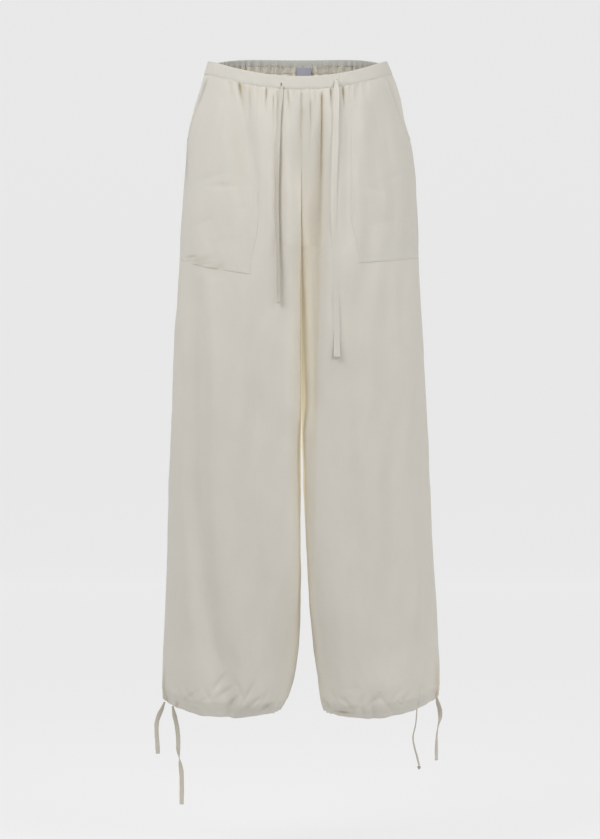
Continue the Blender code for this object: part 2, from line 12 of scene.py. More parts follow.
import bpy
import numpy as np
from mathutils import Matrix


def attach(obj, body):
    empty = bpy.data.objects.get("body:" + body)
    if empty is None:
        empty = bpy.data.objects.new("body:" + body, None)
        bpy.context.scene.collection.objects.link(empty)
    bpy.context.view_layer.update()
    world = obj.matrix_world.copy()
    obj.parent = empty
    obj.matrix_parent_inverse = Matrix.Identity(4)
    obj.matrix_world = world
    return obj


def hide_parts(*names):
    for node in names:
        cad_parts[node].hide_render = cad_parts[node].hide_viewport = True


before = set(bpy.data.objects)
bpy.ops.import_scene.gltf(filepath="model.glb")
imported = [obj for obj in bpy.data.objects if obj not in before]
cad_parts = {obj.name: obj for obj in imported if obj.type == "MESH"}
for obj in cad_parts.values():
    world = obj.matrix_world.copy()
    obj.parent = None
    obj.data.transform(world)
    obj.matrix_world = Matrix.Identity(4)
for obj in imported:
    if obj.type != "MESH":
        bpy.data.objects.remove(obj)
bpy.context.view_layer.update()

bl_info = {
    "name": "Wide-leg pants",
    "version": (1, 0, 0),
    "blender": (4, 5, 0),
    "location": "View3D > Sidebar > Pants",
    "description": "Cream pull-on wide-leg pants, filled out and hollow",
    "category": "Object",
}

BODY = "root"
QUARTER_TURN = 0.5 * math.pi
FULL_TURN = 2.0 * math.pi


def rows_of(kind, table):
    """A table's rows as named values. Where the table has groups, so has what it gives."""
    if isinstance(table, dict):
        return {key: rows_of(kind, rows) for key, rows in table.items()}
    return [kind(*row) for row in table]


# Driving dimensions, which are those of the solids
OUTSEAM = 1.041
BAND_HEIGHT = 0.021
RIM_DIP_FRONT = 0.034
RIM_LIFT_BACK = 0.016
SEAM_X = 0.002
SEAM_GAP = 0.0003
CROTCH_Y = 0.006
CORNER_FULLNESS = 2.3
LEVEL_Z = -0.190
CROTCH_Z = -0.300
HEM_START_Z = -0.930
HEM_CHANNEL = 0.016
RIDGE_START_Z = -0.090
RIDGE_END_Z = -0.430
RISE_SETTLE = 0.080
RISE_TIGHTNESS = 4
HEM_LIFT_REACH = 0.62

RIGHT, LEFT = -1, 1
FRONT, BACK = -1, 1
RISE_START_Z = {FRONT: -0.238, BACK: -0.165}
HEM_LIFT = {RIGHT: 0.024, LEFT: 0.030}
INNER_HEM_LIFT = {RIGHT: 0.0050, LEFT: 0.0042}

# Hanging cloth is flatter in front of the inseam than the solids are, and less so at the hem
INNER_FULLNESS = 7.0
INNER_FULL_AT_HEM = 0.15
INNER_FULL_START_Z = -0.080
INNER_FULL_Z = -0.195
INNER_FULL_END_Z = -0.720
INNER_FULL_GONE_Z = -0.980

# The outline: reach of each side seam from the origin, and depth to the front and the back
Section = namedtuple("Section", "z right left front back")
SECTIONS = rows_of(Section, (
    (-1.06, 0.219, 0.223, 0.091, 0.091), (-0.989, 0.22, 0.222, 0.099, 0.099),
    (-0.861, 0.215, 0.217, 0.103, 0.103), (-0.733, 0.21, 0.209, 0.106, 0.107),
    (-0.605, 0.206, 0.204, 0.11, 0.112), (-0.477, 0.201, 0.198, 0.115, 0.12),
    (-0.349, 0.194, 0.191, 0.12, 0.132), (-0.221, 0.186, 0.186, 0.122, 0.137),
    (-0.157, 0.182, 0.18, 0.118, 0.132), (-0.125, 0.18, 0.175, 0.115, 0.126),
    (-0.093, 0.174, 0.167, 0.111, 0.119), (-0.061, 0.164, 0.161, 0.107, 0.111),
    (-0.029, 0.155, 0.151, 0.103, 0.104), (0.0, 0.147, 0.139, 0.1, 0.099),
    (0.02, 0.143, 0.135, 0.099, 0.098),
))

# The inseams, where the legs part: x of each leg's inner side
Inseam = namedtuple("Inseam", "z right left")
INSEAMS = rows_of(Inseam, (
    (-1.06, -0.048, 0.046), (-1.027, -0.025, 0.034), (-0.989, -0.0115, 0.029),
    (-0.95, -0.004, 0.023), (-0.861, 0.0004, 0.015), (-0.733, 0.0006, 0.0085),
    (-0.6, 0.0006, 0.0042), (-0.545, 0.0016, 0.0026), (-0.48, SEAM_X, SEAM_X),
    (CROTCH_Z, SEAM_X, SEAM_X), (0.02, SEAM_X, SEAM_X),
))

# Gathers under the front band, as creases: x at the band seam, drift for each metre down,
# depth, half width, how far below the seam each begins and ends, and sharpness, 1 to 2
Gather = namedtuple("Gather", "x drift depth half_width begin reach sharpness")
FRONT_GATHERS = rows_of(Gather, (
    (-0.11, 0.1, 0.0014, 0.005, 0.0, 0.03, 1.6), (-0.0961, 0.17, 0.0062, 0.0022, 0.0, 0.032, 1.2),
    (-0.088, 0.05, 0.0016, 0.004, 0.004, 0.04, 1.6),
    (-0.0789, 0.0, 0.0017, 0.0018, 0.0, 0.06, 1.2), (-0.0785, 0.0, 0.001, 0.0034, 0.01, 0.07, 1.6),
    (-0.064, 0.03, 0.0014, 0.0034, 0.0, 0.03, 1.6), (-0.0524, 0.0, 0.0034, 0.0013, 0.0, 0.03, 1.2),
    (-0.0414, 0.02, 0.0022, 0.0012, 0.01, 0.06, 1.2),
    (-0.0345, 0.05, 0.0022, 0.0026, 0.004, 0.04, 1.5),
    (-0.019, 0.08, 0.0032, 0.0018, 0.0, 0.034, 1.3),
    (-0.008, 0.02, 0.0012, 0.003, 0.0, 0.024, 1.6),
    (0.0026, 0.0, 0.002, 0.0015, 0.004, 0.085, 1.3), (0.003, 0.0, 0.001, 0.0042, 0.03, 0.1, 1.6),
    (0.0164, 0.0, 0.0025, 0.0012, 0.018, 0.07, 1.2), (0.025, 0.02, 0.0014, 0.003, 0.0, 0.03, 1.6),
    (0.0344, -0.01, 0.0046, 0.0021, 0.006, 0.18, 1.1),
    (0.0484, 0.0, 0.004, 0.0014, 0.0, 0.027, 1.2), (0.058, 0.02, 0.0014, 0.003, 0.0, 0.03, 1.6),
    (0.0672, 0.0, 0.0044, 0.0016, 0.0, 0.026, 1.2), (0.078, 0.0, 0.0012, 0.004, 0.0, 0.022, 1.6),
    (0.09, -0.03, 0.0018, 0.005, 0.0, 0.03, 1.5), (0.102, 0.02, 0.0012, 0.005, 0.0, 0.022, 1.6),
))

# How deep a gather is where its painted warm shade is full, how sharp one has to be for closer
# columns, how much wider it is for each metre down, and the height over which it fades in
WARM_DEPTH = 0.0050
CLOSE_GATHER = 1.35
GATHER_WIDENING = 6.0
GATHER_FADE_IN = 0.012
GATHER_PUFF = 0.0030
GATHER_PUFF_RISE = 0.012
GATHER_PUFF_REACH = 0.120
GATHERED_HALF_WIDTH = 0.115
RIPPLE_DEPTH, RIPPLE_REACH, RIPPLE_HALF_WIDTH = 0.0005, 0.016, 0.11

# How fully the relief's layers show on the leg panels: gathers, long folds, waves and dents
GATHER_GAIN, DRAPE_GAIN, WAVE_GAIN, DENT_GAIN = 1.5, 1.75, 0.9, 1.2
DRAPE_WIDTH_GAIN = 1.35
DRAPE_SHARPNESS, DENT_SHARPNESS = 1.7, 1.6
WAVE_START, RISE_FADE = 0.05, 0.040

# The sewn seams' troughs, and how far the relief of a panel fades out before its edges, both in u
SEAM_TROUGH_U = 0.0050
SIDE_TROUGH, INNER_TROUGH = 0.0007, 0.0006
EDGE_FADE_U = 0.03
BAND_SIDE_SEAM_U = 0.006
BAND_SIDE_SEAM_DEPTH = 0.0006

# Long soft folds, as creases down the cloth of each panel: points (x, z) from the top down,
# depth, which is below nothing for a ridge, and half width at the top and at the foot
Drape = namedtuple("Drape", "route depth top_width low_width")
DRAPES = rows_of(Drape, {
    (RIGHT, FRONT): (
        (((-0.164, -0.36), (-0.163, -0.52), (-0.16, -0.7),
          (-0.148, -0.85), (-0.124, -0.98), (-0.108, -1.06)), 0.0052, 0.011, 0.019),
        (((-0.184, -0.4), (-0.183, -0.66), (-0.172, -0.9)), -0.0022, 0.01, 0.012),
        (((-0.136, -0.44), (-0.133, -0.72), (-0.115, -0.92)), -0.0018, 0.012, 0.015),
        (((-0.07, -0.52), (-0.064, -0.78), (-0.056, -0.99)), 0.0026, 0.013, 0.018),
        (((-0.088, -0.34), (-0.096, -0.62), (-0.098, -0.9)), -0.0014, 0.013, 0.016),
        (((-0.012, -0.2), (-0.011, -0.36), (-0.012, -0.58)), -0.003, 0.01, 0.01),
        (((-0.02, -0.09), (-0.017, -0.2), (-0.02, -0.32)), -0.002, 0.006, 0.008),
        (((-0.086, -0.1), (-0.075, -0.17), (-0.064, -0.28)), 0.0018, 0.006, 0.009),
        (((-0.0325, -0.15), (-0.033, -0.24), (-0.0342, -0.385)), 0.001, 0.0048, 0.0054),
    ),
    (LEFT, FRONT): (
        (((0.0344, -0.12), (0.033, -0.22), (0.027, -0.31),
          (0.019, -0.42), (0.013, -0.56)), 0.0058, 0.007, 0.012),
        (((0.047, -0.2), (0.044, -0.34), (0.042, -0.56)), -0.0022, 0.009, 0.012),
        (((0.069, -0.1), (0.073, -0.17), (0.076, -0.3)), 0.0024, 0.006, 0.009),
        (((0.096, -0.09), (0.089, -0.2), (0.083, -0.36)), -0.0024, 0.01, 0.012),
        (((0.124, -0.08), (0.128, -0.18), (0.13, -0.29)), 0.0009, 0.01, 0.014),
        (((0.0545, -0.29), (0.056, -0.38), (0.0575, -0.475)), -0.003, 0.014, 0.016),
        (((0.136, -0.38), (0.144, -0.7), (0.14, -0.96)), 0.0034, 0.013, 0.02),
        (((0.1, -0.42), (0.104, -0.7), (0.108, -0.94)), -0.0014, 0.016, 0.02),
        (((0.064, -0.5), (0.07, -0.76), (0.076, -0.97)), 0.0016, 0.014, 0.018),
        (((0.172, -0.34), (0.178, -0.62), (0.18, -0.9)), -0.0018, 0.01, 0.012),
    ),
    (RIGHT, BACK): (
        (((-0.044, -0.12), (-0.052, -0.24), (-0.06, -0.42)), 0.004, 0.009, 0.014),
        (((-0.098, -0.22), (-0.108, -0.5), (-0.104, -0.93)), 0.0048, 0.014, 0.02),
        (((-0.07, -0.3), (-0.076, -0.62), (-0.074, -0.94)), -0.0022, 0.014, 0.018),
        (((-0.15, -0.14), (-0.16, -0.36), (-0.162, -0.82)), 0.0036, 0.01, 0.016),
        (((-0.026, -0.34), (-0.034, -0.6), (-0.042, -0.96)), 0.003, 0.01, 0.014),
        (((-0.013, -0.12), (-0.015, -0.18), (-0.018, -0.3)), 0.0026, 0.006, 0.01),
    ),
    (LEFT, BACK): (
        (((0.036, -0.11), (0.043, -0.22), (0.052, -0.46)), 0.0042, 0.009, 0.014),
        (((0.104, -0.26), (0.112, -0.56), (0.109, -0.9)), 0.0046, 0.014, 0.02),
        (((0.076, -0.34), (0.08, -0.64), (0.084, -0.96)), -0.002, 0.014, 0.018),
        (((0.154, -0.18), (0.164, -0.4), (0.17, -0.86)), 0.0034, 0.01, 0.016),
        (((0.028, -0.4), (0.038, -0.66), (0.056, -0.95)), 0.0028, 0.01, 0.014),
        (((0.078, -0.09), (0.084, -0.16), (0.09, -0.24)), 0.0022, 0.007, 0.01),
    ),
})
DRAPE_FADE = 0.070

# Short creases at any slant on each panel: middle (x, z), slant from upright in degrees, half
# length, half width and depth
Dent = namedtuple("Dent", "x z slant half_length half_width depth")
PANEL_DENTS = rows_of(Dent, {
    (RIGHT, FRONT): (
        (-0.1275, -0.984, 38, 0.018, 0.004, 0.002), (-0.118, -1.0, 55, 0.014, 0.003, 0.0018),
        (-0.145, -1.004, -30, 0.014, 0.0034, 0.0016), (-0.102, -1.012, 35, 0.012, 0.003, 0.0018),
        (-0.093, -0.998, -25, 0.016, 0.004, 0.0014), (-0.08, -1.0, 30, 0.018, 0.0036, 0.002),
        (-0.069, -1.014, 50, 0.011, 0.0028, 0.002), (-0.056, -1.01, 28, 0.012, 0.003, 0.0016),
        (-0.17, -1.008, -42, 0.012, 0.003, 0.0014), (-0.188, -1.006, -20, 0.012, 0.003, 0.0016),
        (-0.152, -0.33, 78, 0.016, 0.0034, 0.0011), (-0.13, -0.339, 70, 0.012, 0.004, 0.0009),
        (-0.173, -0.324, 88, 0.01, 0.0026, 0.0008),
    ),
    (LEFT, FRONT): (
        (0.082, -0.993, 84, 0.011, 0.0014, 0.0013), (0.119, -1.008, 46, 0.014, 0.0032, 0.0018),
        (0.132, -1.014, -38, 0.012, 0.003, 0.0016), (0.149, -1.006, 36, 0.013, 0.0032, 0.0014),
        (0.07, -1.014, -48, 0.012, 0.003, 0.0018), (0.053, -1.008, -30, 0.012, 0.003, 0.0018),
        (0.096, -1.012, 24, 0.01, 0.003, 0.0014), (0.166, -1.008, 30, 0.012, 0.003, 0.0014),
        (0.19, -1.0, 18, 0.012, 0.003, 0.0016),
    ),
    (RIGHT, BACK): (
        (-0.1, -1.004, 34, 0.015, 0.0034, 0.0018), (-0.13, -1.008, -30, 0.013, 0.0032, 0.0018),
        (-0.072, -1.01, -44, 0.012, 0.003, 0.0016), (-0.16, -1.004, 40, 0.013, 0.0032, 0.0014),
    ),
    (LEFT, BACK): (
        (0.105, -1.006, -36, 0.015, 0.0034, 0.0018), (0.136, -1.008, 32, 0.013, 0.0032, 0.0018),
        (0.076, -1.01, 42, 0.012, 0.003, 0.0016), (0.164, -1.002, -38, 0.013, 0.0032, 0.0014),
    ),
})
POCKET_DENTS = rows_of(Dent, {
    (RIGHT, FRONT): (
        (-0.142, -0.192, 76, 0.02, 0.006, 0.0012), (-0.124, -0.206, 92, 0.022, 0.0042, 0.0015),
        (-0.152, -0.262, 70, 0.018, 0.007, 0.001), (-0.09, -0.243, 96, 0.014, 0.006, 0.0008),
        (-0.118, -0.296, 84, 0.02, 0.007, 0.001), (-0.1705, -0.3145, 90, 0.0075, 0.0013, 0.0026),
        (-0.16, -0.309, 84, 0.014, 0.0026, 0.0014), (-0.156, -0.319, 104, 0.014, 0.002, 0.0014),
        (-0.133, -0.324, 74, 0.01, 0.0024, 0.001), (-0.123, -0.105, 12, 0.028, 0.006, 0.0012),
        (-0.1, -0.15, 20, 0.024, 0.006, 0.001),
    ),
    (LEFT, FRONT): (
        (0.112, -0.212, 100, 0.018, 0.006, 0.001), (0.133, -0.262, 82, 0.018, 0.007, 0.001),
        (0.097, -0.286, 94, 0.016, 0.006, 0.0008), (0.148, -0.19, 64, 0.016, 0.006, 0.001),
        (0.12, -0.11, -8, 0.03, 0.006, 0.0014), (0.14, -0.15, -14, 0.026, 0.006, 0.001),
        (0.106, -0.32, 84, 0.012, 0.0024, 0.001),
    ),
})

# Slow unevenness of hanging cloth, as waves: how many for each metre across, down and through,
# the phase and the height
Wave = namedtuple("Wave", "across down through phase height")
CLOTH_WAVES = rows_of(Wave, (
    (17.0, 1.7, 5.0, 0.4, 0.00034), (26.0, -2.3, 9.0, 2.1, 0.00026),
    (11.0, 3.1, -14.0, 4.0, 0.00036), (37.0, 3.4, 12.0, 1.3, 0.00016),
    (21.0, -6.0, 19.0, 5.2, 0.00018), (8.0, 12.0, 10.0, 0.9, 0.00016),
    (-31.0, 17.0, 22.0, 3.3, 0.00008), (44.0, 24.0, -16.0, 2.7, 0.00006),
))

# Back gathers below the elastic, in each back panel, and the ruches of the elastic band, whose
# stitched rows are at shares down its outer face and its inner one
BACK_GATHERS_PER_PANEL = 16
BACK_GATHER_DEPTH = 0.0019
BACK_GATHER_REACH = 0.070
RUCHE_DEPTH = 0.0010
RUCHE_START_U = 0.08
RUCHE_STITCH_SHARE = 0.66
FACING_SHARE = 0.47
RUCHE_STITCH_DEPTH = 0.0006
LOOSE_RUCHE = 1.5

# The front band's join, the line of its lower stitching by a share down, and how flat each rim is
BAND_JOIN_X, BAND_JOIN_HALF_WIDTH = -0.0032, 0.0011
BAND_EDGE_SHARE, BAND_EDGE_REACH, BAND_EDGE_DEPTH = 0.93, 0.05, 0.0005
RIM_POWER = {FRONT: 2, BACK: 5}

# How the layers lie at the band seam, from the base surface out: the outer layer of the band, the
# gathered cloth and the pocket between its layers, and its inner layer
BAND_PROUD = 0.0008
BAND_INNER = -0.0022
TUCKED_CLOTH = -0.0006
TUCK_REACH = 0.0026
TUCK_HEIGHT = 0.003
SEAM_ALLOWANCE = 0.007
FIN_SHARES = (0.15, 0.5, 1.0)
TRIMMED_SHARE, TRIMMED_REACH, TRIMMED_FADE = 0.3, 0.018, 0.020

# The hem: puckers that the tie draws in, the channel's stitched line, the lean inwards and the turn
HEM_PUCKERS_PER_PANEL = 13
HEM_PUCKER_REACH = 0.017
HEM_LEAN_REACH = 0.022
HEM_STITCH_DEPTH = 0.0011
HEM_STITCH_HALF_WIDTH = 0.0014
HEM_PUCKER_DEPTH = 0.0014
HEM_LEAN = 0.0035
HEM_TURN = 0.0017

# Patch pockets: the mouth slants from the band seam to the side seam
POCKET_INNER_X = {RIGHT: -0.0655, LEFT: 0.0790}
POCKET_MOUTH_U = {RIGHT: 0.23, LEFT: 0.31}
POCKET_TOP_Z = -0.035
POCKET_WIDTH, POCKET_HEIGHT = 0.110, 0.290
POCKET_STITCH_INSET, POCKET_STITCH_DEPTH = 0.0030, 0.0003
POCKET_MOUTH_LOW_Z = -0.133
POCKET_OUTER_LOW_Z = -0.312
POCKET_INNER_LOW_Z = {RIGHT: -0.345, LEFT: -0.328}
POCKET_NARROWING = 0.012
POCKET_BILLOW = 0.0018
POCKET_SIDE_U = 0.012
POCKET_EDGE_ROLL = 0.00015
POCKET_GAPE = 0.0020
POCKET_WALL_SHARE = 0.5
POCKET_EDGE_SHARE = 0.25
POCKET_THIN_EDGE = 0.0024
POCKET_TUCK_REACH = 0.012
POCKET_LEAST_RISE = 0.00005
BILLOW_POWER = 0.8
GAPE_REACH, GAPE_LOW_SHARE, GAPE_FADE = 0.014, 0.40, 0.10
ROLL_REACH, ROLL_FADE = 0.004, 0.003

# How deep the leg sinks in beside a pocket's mouth, how far that reaches, how much of the pocket's
# own edge gets painted shade, how dark the painted shade on both is, and the heights over which it
# fades out
MOUTH_DEPTH = {RIGHT: 0.0036, LEFT: 0.0012}
MOUTH_WIDTH = 0.0100
MOUTH_LIP = 0.045
MOUTH_SHADE = {RIGHT: 1.10, LEFT: 0.20}
MOUTH_TOP_Z = -0.026
MOUTH_TOP_FADE, MOUTH_LOW_FADE = 0.016, 0.020

# Roughly how far it is across a panel, in metres
PANEL_SPAN = 0.30

# Free ties: the route of each from where it comes out, as the solids have it, its turns in degrees
# along its length, and its painted shade along its length, darker where it is seen edge-on or
# against the light
Tie = namedtuple("Tie", "name width route turns shades")
DRAWSTRINGS = rows_of(Tie, (
    ("drawstring_right", 0.0068,
     ((-0.0278, -0.108, -0.05), (-0.029, -0.1098, -0.062), (-0.0318, -0.115, -0.09),
      (-0.0335, -0.1195, -0.13), (-0.035, -0.1236, -0.18), (-0.0358, -0.1262, -0.23),
      (-0.035, -0.1268, -0.28), (-0.0342, -0.1265, -0.33), (-0.0335, -0.1258, -0.39)),
     ((0.0, -20), (0.15, -30), (0.32, -36), (0.44, -40), (0.8, -40), (1.0, -36)),
     ((0.0, 0.35), (0.3, 0.4), (0.42, 0.85), (0.95, 0.85), (1.0, 0.5))),
    ("drawstring_left", 0.01,
     ((0.0566, -0.1046, -0.0405), (0.0568, -0.1083, -0.06), (0.056, -0.114, -0.09),
      (0.055, -0.119, -0.14), (0.0535, -0.1236, -0.19), (0.0528, -0.1262, -0.24),
      (0.054, -0.1262, -0.29), (0.0555, -0.1252, -0.35), (0.0568, -0.124, -0.41),
      (0.0575, -0.123, -0.475)),
     ((0.0, -22), (0.12, -10), (0.4, 8), (0.7, 14), (1.0, 4)),
     ((0.0, 0.0), (1.0, 0.0))),
))
HEM_TIES = rows_of(Tie, (
    ("hem_tie_right_outer", 0.007,
     ((-0.215, -0.031, -1.0198), (-0.219, -0.0312, -1.03), (-0.2245, -0.0305, -1.042),
      (-0.2275, -0.0295, -1.053), (-0.228, -0.029, -1.065), (-0.2268, -0.0288, -1.084),
      (-0.2258, -0.0288, -1.102)),
     ((0.0, 10), (0.3, 0), (0.6, -14), (1.0, 6)),
     ((0.0, 1.0), (0.4, 0.6), (1.0, 0.5))),
    ("hem_tie_right_inner", 0.007,
     ((-0.2012, -0.0587, -1.0234), (-0.1985, -0.057, -1.037), (-0.1945, -0.0555, -1.056),
      (-0.1925, -0.0548, -1.075), (-0.1922, -0.0545, -1.095), (-0.19, -0.0545, -1.111),
      (-0.1875, -0.0545, -1.127), (-0.1868, -0.0545, -1.148), (-0.187, -0.0545, -1.179)),
     ((0.0, 0), (0.4, -8), (0.5, -60), (0.62, -150), (0.75, -176), (1.0, -184)),
     ((0.0, 1.2), (0.2, 0.7), (0.5, 0.9), (1.0, 0.6))),
    ("hem_tie_left_inner", 0.007,
     ((0.1897, 0.0757, -1.0256), (0.19, 0.0755, -1.044), (0.1882, 0.075, -1.066),
      (0.1838, 0.0745, -1.09), (0.1862, 0.0745, -1.104), (0.19, 0.0745, -1.118),
      (0.1936, 0.0745, -1.133)),
     ((0.0, 80), (0.5, 74), (1.0, 66)),
     ((0.0, 1.2), (1.0, 1.0))),
    ("hem_tie_left_outer", 0.007,
     ((0.2175, 0.0, -1.0128), (0.2205, -0.001, -1.024), (0.2238, -0.0012, -1.037),
      (0.224, -0.0012, -1.048), (0.2212, -0.0012, -1.06), (0.219, -0.0012, -1.074),
      (0.2182, -0.0012, -1.092), (0.2182, -0.0012, -1.116)),
     ((0.0, 0), (0.3, 10), (0.42, 62), (0.64, 66), (0.78, 48), (1.0, 44)),
     ((0.0, 0.9), (1.0, 0.6))),
))
TIE_THICKNESS = 0.0014
TIE_STATIONS = 150
TIE_AROUND = 20
TIE_SECTION_POWER = 2.0 / 3.0
TIE_STITCH_DEPTH = 0.00016
TIE_STITCH_INSET = 0.0038
TIE_DRAWN_IN, TIE_DRAWN_REACH = 0.55, 0.018
TIE_WARM_SHADE, TIE_GREY_SHADE = 0.30, 0.50
KNOT_DROP = 0.0036
KNOT_SIZE = (0.00062, 0.00095, 0.00082)
KNOT_STRAND = (0.00105, 0.00125)
KNOT_STATIONS, KNOT_AROUND = 96, 14

# Share of light through the cloth, and the painted shade and warm light inside the elastic back
THROUGH_CLOTH = 0.30
INSIDE_SHADE_TINT = (0.76, 0.79, 0.80)
INSIDE_LIGHT_TINT = (0.95, 0.93, 0.90)
PINCH_SHADE_TINT = (0.50, 0.45, 0.38)
# Warm and grey tints of painted shade, and the dark colour of the buttonhole slot's painted shade
WARM_SHADE_TINT = (0.84, 0.74, 0.54)
GREY_SHADE_TINT = (0.70, 0.70, 0.71)
SLOT_SHADE_COLOUR = (0.260, 0.220, 0.170)
SLUB_HEIGHT = 0.000035

# The weave's yarns, as unevenness for each metre across and down, and the spacing of the slow
# change of tone, the soft creasing and the fine
DOWN_YARN, CROSS_YARN = (1150.0, 46.0), (52.0, 1250.0)
TONE_SCALE, SOFT_SCALE, FINE_SCALE = 9.0, 34.0, 120.0

# Painted warm shade between the legs, where the cloth is in shade and light comes through a second
# layer: on the left leg, from the centre seam and inseam out to x, by a share
WarmShadeRow = namedtuple("WarmShadeRow", "z reach share")
WARM_SHADE_BETWEEN_LEGS = rows_of(WarmShadeRow, (
    (-1.0, 0.03, 0.0), (-0.931, 0.024, 0.05), (-0.853, 0.022, 0.08), (-0.775, 0.022, 0.1),
    (-0.697, 0.024, 0.13), (-0.619, 0.026, 0.17), (-0.45, 0.028, 0.2), (-0.354, 0.0315, 0.26),
    (-0.292, 0.0335, 0.28), (-0.229, 0.0335, 0.2), (-0.167, 0.031, 0.12), (-0.12, 0.026, 0.08),
    (-0.07, 0.02, 0.0),
))

# Small patches of painted shade on each side, warmer or greyer: in creases pressed together, along
# seams and at tie exits. Middle (x, z), slant from upright in degrees, half length, half width,
# warm and grey shares
ShadePatch = namedtuple("ShadePatch", "x z slant half_length half_width warm grey")
SHADE_PATCHES = rows_of(ShadePatch, {
    RIGHT: (
        (-0.096, -0.16, 0, 0.04, 0.012, 0.1, 0.02),
        (-0.1705, -0.3145, 90, 0.008, 0.0017, 0.45, 0.35),
        (-0.155, -0.32, 76, 0.017, 0.005, 0.15, 0.16),
        (-0.133, -0.332, 72, 0.013, 0.005, 0.15, 0.14),
        (-0.18, -0.161, 0, 0.03, 0.0026, 0.0, 0.45), (-0.2165, -1.0, 0, 0.03, 0.004, 0.35, 0.3),
        (-0.2145, -1.015, 0, 0.005, 0.0018, 0.8, 0.4),
        (-0.1965, -1.02, 10, 0.005, 0.002, 0.5, 0.4), (-0.108, -1.014, 50, 0.012, 0.004, 0.1, 0.3),
        (-0.052, -1.022, 60, 0.009, 0.003, 0.4, 0.35), (-0.08, -1.02, 35, 0.01, 0.004, 0.15, 0.22),
        (-0.15, -1.008, 62, 0.014, 0.0024, 0.05, 0.2),
        (-0.174, -1.004, 55, 0.012, 0.0024, 0.1, 0.22),
    ),
    LEFT: (
        (0.2187, -1.007, 0, 0.0048, 0.0016, 1.7, 0.5),
        (0.2176, -0.985, 0, 0.022, 0.0036, 0.45, 0.0), (0.188, -1.018, 0, 0.003, 0.0014, 0.6, 0.4),
        (0.0675, -1.031, 90, 0.012, 0.0013, 0.9, 0.6), (0.04, -1.02, -30, 0.012, 0.003, 0.3, 0.12),
        (0.124, -1.006, 62, 0.015, 0.0026, 0.1, 0.22),
        (0.156, -1.009, 70, 0.012, 0.0024, 0.1, 0.18),
        (0.078, -1.023, 84, 0.012, 0.0024, 0.2, 0.25),
    ),
})

# Buttonholes: their size, their thread, the bars in a ring, the share of it that the slot's dark
# disc of painted shade takes, and middles (x, z). Then the label
BUTTONHOLE_WIDTH = 0.0038
BUTTONHOLE_HEIGHT = 0.0090
BUTTONHOLE_THREAD, BUTTONHOLE_BARS, BUTTONHOLE_SLOT = 0.00042, 40.0, 0.86
BUTTONHOLE_STATIONS, BUTTONHOLE_AROUND = 160, 8
BUTTONHOLE_MIDDLES = {RIGHT: (-0.0290, -0.0485), LEFT: (0.0566, -0.0430)}
LABEL_WIDTH = 0.0240
LABEL_HEIGHT = 0.020
LABEL_MIDDLE_X = 0.0062
LABEL_TOP_Z = 0.0035
LABEL_CLEARANCE = 0.0056
LABEL_WALL = 0.0005
LABEL_COLUMNS, LABEL_ROWS = 28, 24

# A stitch: how far its thread goes on below the cloth, its spindle's rings, each by shares along
# its length, of its thickness and of how far out it stands, and how far off the cloth its line is
STITCH_GAP = 0.0010
SPINDLE = ((-0.42, 0.75, -0.55), (-0.15, 1.0, 0.15), (0.15, 1.0, 0.15), (0.42, 0.75, -0.55))
SPINDLE_SIDES = 5
ON_CLOTH = 0.00005

# A painted glow of the cloth between the legs stands for light that has come through it: its
# strength at each height, beside the inseam and deep between the legs, how far the first reaches,
# how far from the inseam the second is seen, where it begins and is full, and its colours downwards
GLOWS = {
    RIGHT: ((-0.160, 0.0), (-0.210, 0.05), (-0.290, 0.06), (-0.330, 0.080), (-0.600, 0.085),
            (-0.800, 0.070), (-0.960, 0.035), (-1.030, 0.0)),
    LEFT: ((-0.200, 0.0), (-0.240, 0.03), (-0.265, 0.06), (-0.300, 0.13), (-0.350, 0.15),
           (-0.420, 0.16), (-0.480, 0.14), (-0.540, 0.09), (-0.620, 0.04), (-0.900, 0.03),
           (-1.000, 0.0)),
}
DEEP_GLOWS = {
    RIGHT: ((-0.250, 0.0), (-0.300, 0.05), (-0.400, 0.05), (-0.560, 0.14), (-0.660, 0.13),
            (-0.820, 0.05), (-1.000, 0.01), (-1.030, 0.0)),
    LEFT: ((-0.240, 0.0), (-0.270, 0.07), (-0.300, 0.05), (-0.400, 0.03), (-0.480, 0.06),
           (-0.540, 0.14), (-0.620, 0.25), (-0.730, 0.19), (-0.900, 0.06), (-0.960, 0.04),
           (-1.030, 0.0)),
}
GLOW_REACH = {RIGHT: 0.018, LEFT: 0.012}
DEEP_REACH = 0.030
DEEP_Y = (-0.092, -0.050)
GLOW_COLOURS = ((-0.250, 1.00, 0.94, 0.82), (-0.310, 0.98, 0.89, 0.70), (-0.420, 1.00, 0.92, 0.72),
                (-0.600, 1.00, 0.95, 0.78), (-0.900, 1.00, 0.97, 0.86))

# Numbers of cells across and down. A front panel is finer towards the centre, for its gathers
PANEL_COLUMNS = {FRONT: 238, BACK: 174}
FINE_FROM_U = 0.43
COARSE_WEIGHT = 0.45
GATHER_WEIGHT = 2.2
GATHER_SPREAD = 0.0034
SEAM_COLUMNS = (0.0, 0.0020, 0.0045, 0.0085, 0.0140)
TOP_ROWS, HIP_ROWS, RISE_ROWS, LEG_ROWS, HEM_ROWS, TURN_ROWS = 38, 20, 26, 62, 32, 7
BAND_COLUMNS = 190
POCKET_COLUMNS = 78
POCKET_ROWS = 110
POCKET_EDGE_COLUMNS = (0.0, 0.004, 0.010, 0.018)
POCKET_LOW_ROWS = 12
TOP_ROWS_END_Z = -0.120

